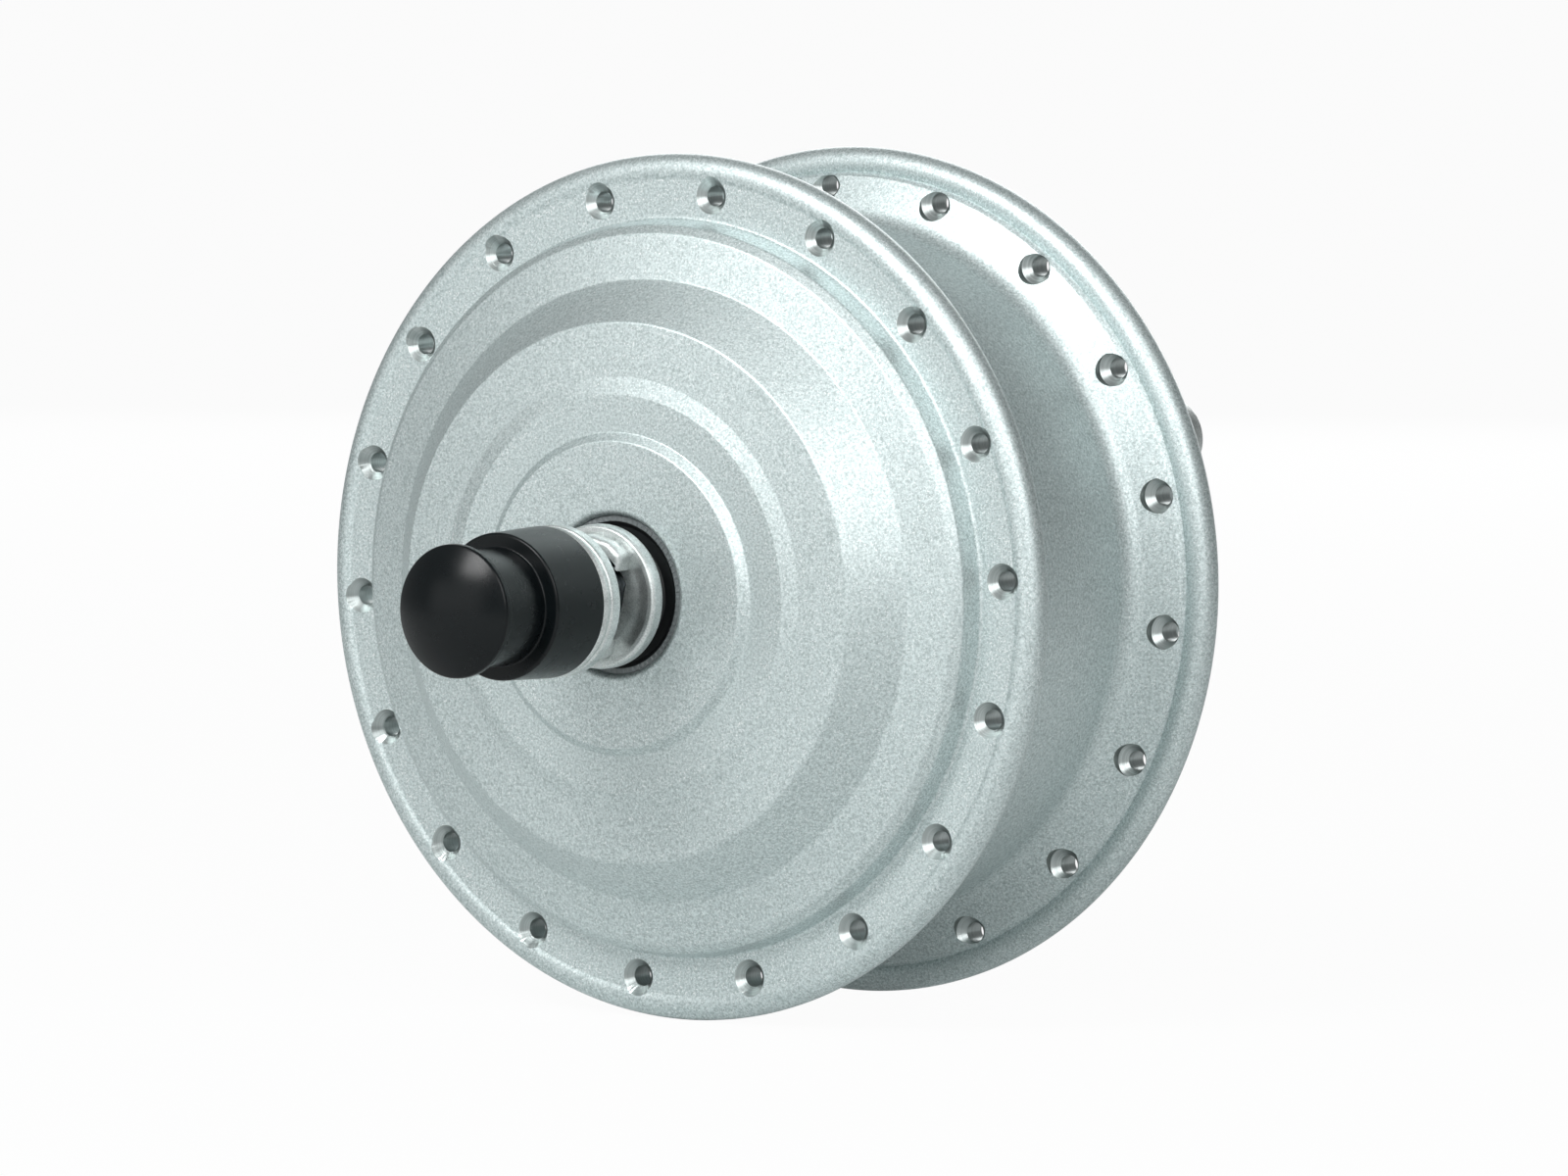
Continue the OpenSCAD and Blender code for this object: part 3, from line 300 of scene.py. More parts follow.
def threaded_end(name, sign, bored):
    """Radius over (y, angle): a 60 degree thread that climbs one pitch a turn, cut off by the two flats."""
    angle = np.linspace(0, 2 * math.pi, THREAD_STEPS, endpoint=False)[None, :]
    rows = int((AXLE_END - SHAFT_END) / THREAD_PITCH * THREAD_ROWS)
    along = np.linspace(SHAFT_END, AXLE_END, rows)[:, None]
    phase = (along / THREAD_PITCH - angle / (2 * math.pi)) % 1.0
    thread = THREAD_R - THREAD_DEPTH * np.clip(np.abs(phase - 0.5) * THREAD_FLANK - THREAD_CREST, 0, 1)
    chamfer = THREAD_R - np.clip(along - (AXLE_END - END_CHAMFER), 0, None)
    radius = np.minimum(thread, chamfer)
    flat = FLATS_HALF / np.maximum(np.abs(np.sin(angle - AXLE_TURN)), 1e-6)
    radius = np.minimum(radius, flat)
    end = radius[-1:]
    if bored:
        mouth = [(BORE_R + 0.5, AXLE_END), (BORE_R, AXLE_END - 0.5), (BORE_R, BORE_START), (0, BORE_START)]
        rings = [0 * end + r for r, y in mouth]
        places = [0 * end + y for r, y in mouth]
    else:
        rings = [end * share for share in (0.5, 0.12, 0)]
        places = [0 * end + y for y in (AXLE_END, AXLE_END, AXLE_END - 0.6)]
    r = np.vstack([0 * end, radius[:1], radius] + rings)
    y = np.vstack([0 * end + SHAFT_END, 0 * end + SHAFT_END, along + 0 * angle] + places)
    points = np.stack([r * np.sin(angle), sign * y, r * np.cos(angle)], -1) * MM
    return grid_mesh(name, points)


shaft = rounded([
    (0, -SHAFT_END), (SHAFT_R, -SHAFT_END, 0.4), (SHAFT_R, COLLAR[1]), (COLLAR[0], COLLAR[1], 0.3),
    (COLLAR[0], COLLAR[2], 0.3), (SHAFT_R, COLLAR[2]), (SHAFT_R, SHAFT_END, 0.4), (0, SHAFT_END),
])
place("axle_bar", joined("axle_bar", [
    turned("shaft", dense(shaft, 6), 128, closed=False),
    threaded_end("near_thread", -1, False),
    threaded_end("far_thread", 1, True),
]), "axle", axle_steel, ["axle"])

# Hub shell.
# One aluminium casting: the drum, both spoke flanges and the near end face, machined, primed and
# sprayed with silver metallic paint. The 36 spoke holes are drilled and countersunk after painting.
# BEAD is the rim's round as (r, |y|, radius). The flange's face lies BEAD_HEIGHT beyond its centre and
# meets it BEAD_REACH nearer to the axle; the flange's slope ends on it at SLOPE_END.
SPOKE_CIRCLE = 61.75
SPOKES = 18
SPOKE_HOLE_R = 1.6
SINK_R = 2.8
SPOKE_PHASE = math.radians(3.3)
FLANGE_FACE = 26.5
FLANGE_SLOPE = 0.53
SLOPE_END = (63.31, 20.8)
BEAD = (65.15, 24.1, 2.7)
BEAD_HEIGHT = 2.4
BEAD_REACH = 1.237
DRUM_R = 56.0
DRUM_FILLET = 4.5
SHELL_R = 51.0
HUB_STEPS = 384
WALL_FOOT = (57.6, 27.1)
WALL_FILLET = 0.6

# Silver paint: fine aluminium flakes in clear lacquer. A soft grain of about 0.4 mm carries the tone,
# and here and there a spot of 0.2 mm is painted near white as a painted glint.
silver_paint, tree = new_material("silver_flake_paint")
where = add(tree, "ShaderNodeTexCoord")
sand = add(tree, "ShaderNodeTexNoise", {"Vector": where.outputs["Object"], "Scale": 1 / (0.42 * MM),
           "Detail": 3.0, "Roughness": 0.65})
flakes = add(tree, "ShaderNodeTexNoise", {"Vector": where.outputs["Object"], "Scale": 1 / (0.2 * MM),
             "Detail": 0.0})
# Painted glints: the peaks of the fine noise are painted near white.
painted_glint = add(tree, "ShaderNodeMapRange", {"Value": flakes.outputs[0], "From Min": 0.62, "From Max": 0.78,
            "To Max": 0.8})
grain = add(tree, "ShaderNodeMapRange", {"Value": sand.outputs[0], "From Min": 0.3, "From Max": 0.7})
ground = add(tree, "ShaderNodeMix", {"Factor": grain.outputs[0], 6: linear("#A6B4B4"), 7: linear("#E6F0F0")},
             data_type="RGBA")
tone = add(tree, "ShaderNodeMix", {"Factor": painted_glint.outputs[0], 6: ground.outputs[2], 7: linear("#FCFFFF")},
           data_type="RGBA")
rough = add(tree, "ShaderNodeMapRange", {"Value": grain.outputs[0], "To Min": 0.56, "To Max": 0.5})
bump = add(tree, "ShaderNodeBump", {"Height": sand.outputs[0], "Strength": 0.5, "Distance": 0.00006})
lacquer = add(tree, "ShaderNodeBsdfPrincipled", {"Base Color": tone.outputs[2], "Metallic": 0.9,
              "Roughness": rough.outputs[0], "Normal": bump.outputs[0], "Coat Weight": 0.25,
              "Coat Roughness": 0.25})
add(tree, "ShaderNodeOutputMaterial", {"Surface": lacquer.outputs[0]})

# Bare aluminium in the drilled holes: bright, with rings left by the countersink.
cut_aluminium, tree = new_material("cut_aluminium")
where = add(tree, "ShaderNodeTexCoord")
rings = add(tree, "ShaderNodeMapping", {"Vector": where.outputs["Object"],
            "Scale": (30, 1 / (0.16 * MM), 30)})
marks = add(tree, "ShaderNodeTexNoise", {"Vector": rings.outputs[0], "Scale": 1.0, "Detail": 2.0})
tone = add(tree, "ShaderNodeMix", {"Factor": marks.outputs[0], 6: linear("#8A9291"), 7: linear("#D2D9D8")},
           data_type="RGBA")
bump = add(tree, "ShaderNodeBump", {"Height": marks.outputs[0], "Strength": 0.5, "Distance": 0.00006})
metal = add(tree, "ShaderNodeBsdfPrincipled", {"Base Color": tone.outputs[2], "Metallic": 1.0,
            "Roughness": 0.34, "Normal": bump.outputs[0]})
add(tree, "ShaderNodeOutputMaterial", {"Surface": metal.outputs[0]})


def arc(centre, radius, start, end, steps):
    """Points of a circle's arc between two angles in degrees, measured from the r axis towards y."""
    t = np.radians(np.linspace(start, end, steps + 1))
    return np.stack([centre[0] + radius * np.cos(t), centre[1] + radius * np.sin(t)], -1)


# Steps and cone of an end face, from the seal's bore outwards, as corners [r, |y|, rounding].
FACE = [(12.4, 39.5), (12.4, 43.0, 1.0), (23.85, 42.9, 0.5), (25.15, 41.6, 0.4), (30.95, 41.5, 0.8),
        (33.75, 40.8, 0.5), (42.1, 40.0, 0.7), (48.55, 33.0, 0.7)]
slope_angle = math.degrees(math.atan(FLANGE_SLOPE))
fillet_top = DRUM_R + DRUM_FILLET * (1 - math.sin(math.radians(slope_angle)))
fillet_height = DRUM_FILLET * math.cos(math.radians(slope_angle))
drum_arc_y = SLOPE_END[1] - FLANGE_SLOPE * (SLOPE_END[0] - fillet_top) - fillet_height
bead_angle = math.degrees(math.asin(BEAD_HEIGHT / BEAD[2]))
flange = np.vstack([
    arc((WALL_FOOT[0] + WALL_FILLET, WALL_FOOT[1]), WALL_FILLET, 190, 270, 6),
    dense(np.array([[WALL_FOOT[0] + WALL_FILLET, FLANGE_FACE],
                    [BEAD[0] - BEAD_REACH, FLANGE_FACE]]), 1.2)[1:-1],
    arc(BEAD[:2], BEAD[2], 180 - bead_angle, bead_angle - 180, 28),
    dense(np.array([SLOPE_END, (fillet_top, drum_arc_y + fillet_height)]), 1.2),
    arc((DRUM_R + DRUM_FILLET, drum_arc_y), DRUM_FILLET, 90 + slope_angle, 180, 12)[1:],
])
near_face = dense(rounded(FACE + [(55.6, 31.4, 0.8), (56.9, 30.1, 0.8), WALL_FOOT]), 4.0)
mirror = np.array([1, -1])
outside = np.vstack([near_face[:-1] * mirror, flange * mirror,
                     dense(np.stack([flange[-1] * mirror, flange[-1]]), 5.0)[1:-1], flange[::-1]])
inside = np.array([(SHELL_R, 28.2), (SHELL_R, -28.2), (45.5, -30.3), (39.1, -37.3), (19.5, -37.6),
                   (19.5, -30.5), (16.0, -30.5), (16.0, -39.5), (12.4, -39.5)])
shell = turned("hub_casting", np.vstack([outside, inside]), HUB_STEPS)
shell.materials.append(silver_paint)
shell.materials.append(cut_aluminium)


def drill(sign, start, count, circle, stations):
    """Spindles round the axle, each a stack of circles [radius, |y|], for the drilled holes of one side."""
    t = np.linspace(0, 2 * math.pi, 64, endpoint=False)[None, :]
    r = np.array(stations)[:, 0][:, None]
    y = np.array(stations)[:, 1][:, None]
    one = np.stack([circle + r * np.cos(t), sign * y + 0 * t, sign * -r * np.sin(t)], -1)
    meshes = []
    for i in range(count):
        a = start + 2 * math.pi * i / count
        x = one[..., 0] * math.cos(a) - one[..., 2] * math.sin(a)
        z = one[..., 0] * math.sin(a) + one[..., 2] * math.cos(a)
        meshes.append(grid_mesh("hole", np.stack([x, one[..., 1], z], -1) * MM))
    return joined("drill", meshes)


def cut(blank, cutters, material):
    """Takes the cutters out of a mesh; the walls of the cut get the given material."""
    target = bpy.data.objects.new("blank", blank)
    bpy.context.scene.collection.objects.link(target)
    for mesh in cutters:
        weld(mesh)
        mesh.materials.append(material)
        tool = bpy.data.objects.new("tool", mesh)
        bpy.context.scene.collection.objects.link(tool)
        cutter = target.modifiers.new("cut", "BOOLEAN")
        cutter.object = tool
        cutter.solver = "EXACT"
        cutter.operation = "DIFFERENCE"
        cutter.material_mode = "TRANSFER"
        bpy.context.view_layer.update()
        result = bpy.data.meshes.new_from_object(target.evaluated_get(bpy.context.evaluated_depsgraph_get()))
        target.modifiers.clear()
        target.data = result
        bpy.data.objects.remove(tool)
    bpy.data.objects.remove(target)
    return result


inner_y = SLOPE_END[1] - FLANGE_SLOPE * (SLOPE_END[0] - SPOKE_CIRCLE)
sink = SINK_R - SPOKE_HOLE_R
spoke = [(0, inner_y - 4), (SINK_R, inner_y - 4), (SINK_R, inner_y), (SPOKE_HOLE_R, inner_y + sink),
         (SPOKE_HOLE_R, FLANGE_FACE - sink), (SINK_R + 1, FLANGE_FACE + 1), (0, FLANGE_FACE + 1)]
weld(shell)
drilled = cut(shell, [
    drill(-1, SPOKE_PHASE, SPOKES, SPOKE_CIRCLE, spoke),
    drill(1, SPOKE_PHASE + math.pi / SPOKES, SPOKES, SPOKE_CIRCLE, spoke),
], cut_aluminium)
stand("hub_casting", drilled, "hub", ["hub_shell"])

# Cover on the cable side.
# The other end face is a separate casting with the same steps, sprayed with the same paint. A spigot
# centres it in the shell and nine countersunk screws hold it on a paper gasket.
COVER_SCREWS = 9
SCREW_CIRCLE = 53.2
SCREW_R = 1.7
SCREW_SINK_R = 3.0
COVER_RING = 31.6
cover_outside = FACE + [(49.85, COVER_RING, 0.2), (56.9, COVER_RING - 0.06, 0.8), (57.7, 28.7)]
cover_inside = np.array([(50.95, 28.7), (50.95, 25.2), (48.95, 25.2), (48.95, 28.7), (45.6, 29.3),
                         (39.15, 37.3), (19.5, 37.6), (19.5, 30.5), (16.0, 30.5), (16.0, 39.5), (12.4, 39.5)])
cover_mesh = turned("cover_casting", np.vstack([dense(rounded(cover_outside), 4.0), cover_inside]), HUB_STEPS)
weld(cover_mesh)
cover_mesh.materials.append(silver_paint)
cover_mesh.materials.append(cut_aluminium)
sink = SCREW_SINK_R - SCREW_R
screw_hole = [(0, 26.0), (SCREW_R, 26.0), (SCREW_R, COVER_RING - sink), (SCREW_SINK_R + 1, COVER_RING + 1),
              (0, COVER_RING + 1)]
cover_mesh = cut(cover_mesh, [drill(1, 0.0, COVER_SCREWS, SCREW_CIRCLE, screw_hole)], cut_aluminium)
stand("cover_casting", cover_mesh, "hub", ["side_cover"])

# Seals.
# Black rubber lip seals pressed into the bores of the end faces. The rim has small moulded ribs and
# is painted light grey as a painted sheen, and the lip runs on the shaft.
# Radius from which the seal's rim is painted light grey, as a painted sheen.
SEAL_SHEEN_R = 11.35
SEAL_FACE = 42.0
black_rubber, tree = new_material("moulded_rubber")
where = add(tree, "ShaderNodeTexCoord")
pores = add(tree, "ShaderNodeTexNoise", {"Vector": where.outputs["Object"], "Scale": 1 / (0.3 * MM),
            "Detail": 2.0})
soot = add(tree, "ShaderNodeMix", {"Factor": pores.outputs[0], 6: linear("#101213"), 7: linear("#1D2021")},
           data_type="RGBA")
axes = add(tree, "ShaderNodeSeparateXYZ", {0: where.outputs["Object"]})
across = add(tree, "ShaderNodeCombineXYZ", {"X": axes.outputs["X"], "Y": axes.outputs["Z"]})
reach = add(tree, "ShaderNodeVectorMath", {0: across.outputs[0]}, operation="LENGTH")
# Painted sheen: the outer rim of the seal is painted light grey.
rim = add(tree, "ShaderNodeMapRange", {"Value": reach.outputs["Value"], "From Min": SEAL_SHEEN_R * MM,
          "From Max": (SEAL_SHEEN_R + 0.15) * MM})
tone = add(tree, "ShaderNodeMix", {"Factor": rim.outputs[0], 6: soot.outputs[2], 7: linear("#747A7B")},
           data_type="RGBA")
bump = add(tree, "ShaderNodeBump", {"Height": pores.outputs[0], "Strength": 0.3, "Distance": 0.00003})
body = add(tree, "ShaderNodeBsdfPrincipled", {"Base Color": tone.outputs[2], "Roughness": 0.42,
           "Normal": bump.outputs[0]})
add(tree, "ShaderNodeOutputMaterial", {"Surface": body.outputs[0]})
SEAL = [(7.6, 39.8), (12.4, 39.8), (12.4, SEAL_FACE, 0.25), (11.4, SEAL_FACE, 0.25), (10.7, 41.3, 0.3),
        (8.9, 41.3, 0.3), (8.3, 42.3, 0.25), (7.55, 42.2)]


def ribbed(profile, ribs, height, inner, outer):
    """A turned ring whose front stands out by a rounded wave of ribs between two radii."""
    steps = ribs * 8
    angle = np.linspace(0, 2 * math.pi, steps, endpoint=False)
    r, y = profile[:, 0][:, None], profile[:, 1][:, None]
    rim = ((r > inner) & (r < outer) & (np.abs(y) > SEAL_FACE - 0.1)).astype(float)
    wave = np.clip(np.cos(angle * ribs) * 1.6, 0, 1)[None, :]
    y = y + np.sign(y) * rim * wave * height
    return np.stack([r * np.sin(angle), y + 0 * angle, r * np.cos(angle)], -1) * MM


for sign, end in ((-1, "near"), (1, "far")):
    profile = dense(rounded(SEAL), 0.5, 0.05) * np.array([1, sign])
    mesh = grid_mesh(end + "_lip_seal", ribbed(profile, 72, 0.12, 11.5, 12.2), closed_v=True)
    place(end + "_lip_seal", mesh, "hub", black_rubber, [end + "_seal"])

# Washers and torque arm.
# Pressed steel, zinc plated bright. The keyed washer's two lugs sit in the slot of the fork; the flat
# washer and, on the cable side, the torque arm lie on the fork's outside.
LUG_ROOT = 46.4
KEY_END = 50.3
SEAT = 47.5
bright_zinc, tree = new_material("bright_zinc_plate")
where = add(tree, "ShaderNodeTexCoord")
handled = add(tree, "ShaderNodeTexNoise", {"Vector": where.outputs["Object"], "Scale": 1 / (2.5 * MM),
              "Detail": 5.0, "Roughness": 0.65})
fine = add(tree, "ShaderNodeTexNoise", {"Vector": where.outputs["Object"], "Scale": 1 / (0.25 * MM),
           "Detail": 2.0})
height = add(tree, "ShaderNodeMath", {0: handled.outputs[0], 1: fine.outputs[0]}, operation="ADD")
mottle = add(tree, "ShaderNodeMapRange", {"Value": height.outputs[0], "From Min": 0.7, "From Max": 1.3})
tone = add(tree, "ShaderNodeMix", {"Factor": mottle.outputs[0], 6: linear("#BCC2C1"), 7: linear("#F0F4F3")},
           data_type="RGBA")
rough = add(tree, "ShaderNodeMapRange", {"Value": handled.outputs[0], "To Min": 0.4, "To Max": 0.56})
bump = add(tree, "ShaderNodeBump", {"Height": height.outputs[0], "Strength": 0.3, "Distance": 0.00008})
metal = add(tree, "ShaderNodeBsdfPrincipled", {"Base Color": tone.outputs[2], "Metallic": 1.0,
            "Roughness": rough.outputs[0], "Normal": bump.outputs[0]})
add(tree, "ShaderNodeOutputMaterial", {"Surface": metal.outputs[0]})


def slab(name, outline, start, end, rounding, steps=5):
    """A flat outline [x, z] drawn out along Y from start to end; both rims are rounded by moving the
    outline inwards along its normals as a quarter circle."""
    sign = 1 if end > start else -1
    ahead = np.roll(outline, -1, 0) - np.roll(outline, 1, 0)
    normal = np.stack([ahead[:, 1], -ahead[:, 0]], -1)
    normal /= np.linalg.norm(normal, axis=1)[:, None]
    centre = outline.mean(0)
    if ((outline - centre) * normal).sum() < 0:
        normal = -normal
    t = np.linspace(0, math.pi / 2, steps + 1)
    inset = rounding * np.concatenate([1 - np.sin(t), 1 - np.cos(t)])
    along = np.concatenate([start + sign * rounding * (1 - np.cos(t)),
                            end - sign * rounding * (1 - np.sin(t))])
    flat = outline[None] - normal[None] * inset[:, None, None]
    points = np.stack([flat[..., 0], along[:, None] + 0 * flat[..., 0], flat[..., 1]], -1) * MM
    mesh = grid_mesh(name, points)
    count = len(outline)
    work = bmesh.new()
    work.from_mesh(mesh)
    work.verts.ensure_lookup_table()
    work.faces.new([work.verts[i] for i in range(count)])
    work.faces.new([work.verts[len(work.verts) - 1 - i] for i in range(count)])
    work.to_mesh(mesh)
    work.free()
    return mesh


def smooth_outline(corners, spacing=0.3):
    """A closed outline of corners [x, z, radius], with rounded corners and points at an even spacing."""
    path = rounded(corners[-1:] + corners + corners[:1], 8)[1:-1]
    path = np.vstack([path, path[:1]])
    length = np.concatenate([[0], np.cumsum(np.linalg.norm(np.diff(path, axis=0), axis=1))])
    even = np.linspace(0, length[-1], int(length[-1] / spacing), endpoint=False)
    return np.stack([np.interp(even, length, path[:, 0]), np.interp(even, length, path[:, 1])], -1)


# One lug of the key as corners [x, z, rounding]; it stands a little off the axle.
LUG = [(FLATS_HALF, 5.1, 0.4), (FLATS_HALF, 8.2, 1.4), (2.4, 9.6, 3.0), (-2.4, 9.6, 3.0),
       (-FLATS_HALF, 8.2, 1.4), (-FLATS_HALF, 5.1, 0.4), (-2.6, 6.7, 3.0), (2.6, 6.7, 3.0)]


def lug_outline(side):
    """The outline of the lug on one side of the axle, turned with the axle's flats."""
    x, z = smooth_outline(LUG).T
    turn = AXLE_TURN + (0 if side > 0 else math.pi)
    return np.stack([x * math.cos(turn) + z * math.sin(turn), -x * math.sin(turn) + z * math.cos(turn)], -1)


def keyed_ring(profile, steps=192):
    """The washer's turned shape, but with its bore cut to the axle: a circle between two flats."""
    angle = np.linspace(0, 2 * math.pi, steps, endpoint=False)[None, :]
    bore = np.minimum(THREAD_R, FLATS_HALF / np.maximum(np.abs(np.sin(angle - AXLE_TURN)), 1e-6)) + 0.05
    r, y = profile[:, :1], profile[:, 1:]
    r = np.where(r < THREAD_R + 0.06, bore, r)
    return grid_mesh("ring", np.stack([r * np.sin(angle), y + 0 * angle, r * np.cos(angle)], -1) * MM,
                     closed_v=True)


KEYED = [(6.05, SHAFT_END), (11.2, SHAFT_END, 0.35), (11.2, 46.9, 0.45), (10.9, SEAT, 0.4),
         (10.1, SEAT, 0.5), (8.6, 46.9, 3.0), (6.05, 47.1)]
FLAT = [(6.05, 56.6), (11.7, 56.6, 0.35), (11.7, 58.9, 0.5), (6.05, 58.9)]
for sign, end in ((-1, "near"), (1, "far")):
    flip = np.array([1, sign])
    ring = keyed_ring(dense(rounded(KEYED), 0.8, 0.08) * flip)
    lugs = [slab("lug", lug_outline(side), sign * LUG_ROOT, sign * KEY_END, 0.9) for side in (1, -1)]
    place(end + "_keyed_ring", joined(end + "_keyed_ring", [ring] + lugs), "axle", bright_zinc,
          [end + "_keyed_washer"])
    flat = turned(end + "_plain_ring", dense(rounded(FLAT), 0.8, 0.08) * flip, 192)
    place(end + "_plain_ring", flat, "axle", bright_zinc, [end + "_flat_washer"])

ARM_LENGTH = 43.5
ARM_ANGLE = math.radians(28.5)
ARM_ROOT_R = 13.0
ARM_TIP_R = 6.6
ARM_HOLE_R = 3.2
ARM_FACES = (53.4, 56.6)
ARM_CUT = (52, 58)
lean = math.degrees(math.acos((ARM_ROOT_R - ARM_TIP_R) / ARM_LENGTH))
arm = np.vstack([arc((0, 0), ARM_ROOT_R, lean, 360 - lean, 72),
                 arc((ARM_LENGTH, 0), ARM_TIP_R, -lean, lean, 40)])
c, s = math.cos(ARM_ANGLE), math.sin(ARM_ANGLE)
arm = np.stack([arm[:, 0] * c - arm[:, 1] * s, arm[:, 0] * s + arm[:, 1] * c], -1)
stamping = slab("arm", arm, *ARM_FACES, 0.6)
stamping.materials.append(bright_zinc)
angle = np.linspace(0, 2 * math.pi, 96, endpoint=False)
reach = np.minimum(THREAD_R + 0.05, (FLATS_HALF + 0.05) / np.maximum(np.abs(np.sin(angle - AXLE_TURN)), 1e-6))
bore = np.stack([reach * np.sin(angle), reach * np.cos(angle)], -1)
eye = np.stack([ARM_LENGTH * c + ARM_HOLE_R * np.cos(angle), ARM_LENGTH * s + ARM_HOLE_R * np.sin(angle)], -1)
cutters = [slab("bore", bore, *ARM_CUT, 0.01), slab("eye", eye, *ARM_CUT, 0.01)]
arm_mesh = cut(stamping, cutters, bright_zinc)
arm_mesh.materials.clear()
place("torque_plate", arm_mesh, "axle", bright_zinc, ["torque_arm"])

# Nuts.
# Flanged M12 nuts, 18 mm across the flats, zinc plated. The flange is conical, and the hexagon's
# corners are turned down at its end.
NUT_FACE = 58.9
NUT_HEX = 60.9
NUT_END = 70.5
NUT_HALF = 9.0
NUT_FLANGE_R = 11.5


def hexagon_nut(name, sign):
    """Radius over (y, angle): the flange's cone, then the smaller of a hexagon and a 30 degree cone."""
    angle = np.linspace(0, 2 * math.pi, 288, endpoint=False)[None, :]
    corner = (angle + math.pi / 6) % (math.pi / 3) - math.pi / 6
    hexagon = NUT_HALF / np.cos(corner)
    hexagon = np.minimum(hexagon, NUT_HALF / math.cos(math.pi / 6) - 0.12)
    y = np.concatenate([[NUT_HEX, NUT_HEX + 0.05], np.linspace(NUT_HEX + 0.1, NUT_END - 1.2, 8),
                        np.linspace(NUT_END - 1.1, NUT_END, 12)])[:, None]
    cone = NUT_HALF - 0.3 + (NUT_END - y) * math.tan(math.radians(60))
    body = np.minimum(hexagon, cone)
    flange = np.array([
        (6.05, NUT_FACE), (NUT_FLANGE_R - 0.2, NUT_FACE), (NUT_FLANGE_R, NUT_FACE + 0.15),
        (NUT_FLANGE_R, NUT_FACE + 0.7), (NUT_FLANGE_R - 0.08, NUT_FACE + 0.85), (11.0, NUT_HEX - 0.12),
        (10.85, NUT_HEX),
    ])
    top = np.array([(7.0, NUT_END), (6.9, NUT_END), (6.05, NUT_END - 0.8)])
    r = np.vstack([flange[:, :1] + 0 * angle, body, top[:, :1] + 0 * angle])
    along = np.vstack([flange[:, 1:] + 0 * angle, y + 0 * angle, top[:, 1:] + 0 * angle])
    points = np.stack([r * np.sin(angle), sign * along, r * np.cos(angle)], -1) * MM
    return grid_mesh(name, points, closed_v=True)


for sign, end in ((-1, "near"), (1, "far")):
    place(end + "_flange_nut", hexagon_nut(end + "_flange_nut", sign), "axle", bright_zinc,
          [end + "_nut"], sharp=24)

# Nut caps.
# Moulded black plastic caps pushed over the nuts: a collar, a neck and a mushroom end. The cable
# side's has a hole for the cable. Satin, with faint scuffs from handling.
CAP_BASE = (11.7, 60.9)
CAP_COLLAR = (11.3, 72.3)
CAP_NECK_R = 9.0
CAP_RIM = (10.2, 83.6)
CAP_TIP = 86.7
CAP_SOCKET_R = 10.44
CAP_HOLLOW_R = 7.4
CAP_HOLLOW = (70.8, 82.4)
black_plastic, tree = new_material("moulded_black_nylon")
where = add(tree, "ShaderNodeTexCoord")
skin = add(tree, "ShaderNodeTexNoise", {"Vector": where.outputs["Object"], "Scale": 1 / (0.35 * MM),
           "Detail": 2.0})
scuff_lines = add(tree, "ShaderNodeTexNoise", {"Vector": where.outputs["Object"], "Scale": 1 / (3.5 * MM),
                  "Detail": 6.0, "Roughness": 0.7, "Distortion": 1.5})
scuffs = add(tree, "ShaderNodeMapRange", {"Value": scuff_lines.outputs[0], "From Min": 0.62, "From Max": 0.72,
             "To Min": 0.0, "To Max": 1.0})
tone = add(tree, "ShaderNodeMix", {"Factor": scuffs.outputs[0], 6: linear("#0A0F11"), 7: linear("#10171A")},
           data_type="RGBA")
rough = add(tree, "ShaderNodeMapRange", {"Value": scuff_lines.outputs[0], "To Min": 0.25, "To Max": 0.31})
bump = add(tree, "ShaderNodeBump", {"Height": skin.outputs[0], "Strength": 0.06, "Distance": 0.00003})
body = add(tree, "ShaderNodeBsdfPrincipled", {"Base Color": tone.outputs[2], "Roughness": rough.outputs[0],
           "Normal": bump.outputs[0], "IOR": 1.4, "Specular IOR Level": 0.36})
add(tree, "ShaderNodeOutputMaterial", {"Surface": body.outputs[0]})


def cap_profile(hole):
    """Outline of a cap's wall from the socket's mouth over the dome and back through the hollow."""
    dome_h = CAP_TIP - CAP_RIM[1]
    ball = (CAP_RIM[0] ** 2 + dome_h**2) / 2 / dome_h
    edge = math.degrees(math.asin(CAP_RIM[0] / ball))
    top = arc((0, CAP_TIP - ball), ball, 90 - edge + 3.0, 90 - math.degrees(math.asin(hole / ball)), 28)
    outer = dense(rounded([
        (CAP_SOCKET_R, CAP_BASE[1]), (*CAP_BASE, 0.15), (*CAP_COLLAR, 0.45), (CAP_NECK_R, CAP_COLLAR[1], 0.3),
        (CAP_NECK_R, 81.6, 0.6), (CAP_RIM[0], CAP_RIM[1] - 1.2, 0.3), (*CAP_RIM, 0.6), tuple(top[0]),
    ]), 1.0, 0.1)
    inner = [(hole, CAP_HOLLOW[1]), (CAP_HOLLOW_R, CAP_HOLLOW[1]), (CAP_HOLLOW_R, CAP_HOLLOW[0]),
             (CAP_SOCKET_R, CAP_HOLLOW[0])]
    return np.vstack([outer, top[1:], np.array(inner)])


for sign, end, hole in ((-1, "near", 0.0), (1, "far", 4.0)):
    mesh = turned(end + "_cap", cap_profile(hole) * np.array([1, sign]), 256)
    place(end + "_cap_shell", mesh, end + "_cap", black_plastic, [end + "_nut_cap"],
          sharp=40)

# Grommet.
# Soft rubber bush in the mouth of the hollow axle; the motor cable runs through it.
GROMMET = [(2.9, 68.0), (3.55, 68.0), (3.55, 75.0), (5.2, 75.0, 0.3), (4.6, 76.4, 0.4), (2.9, 76.4, 0.4)]
place("axle_grommet", turned("axle_grommet", dense(rounded(GROMMET), 0.8, 0.08), 128), "axle", black_rubber,
      ["cable_grommet"])


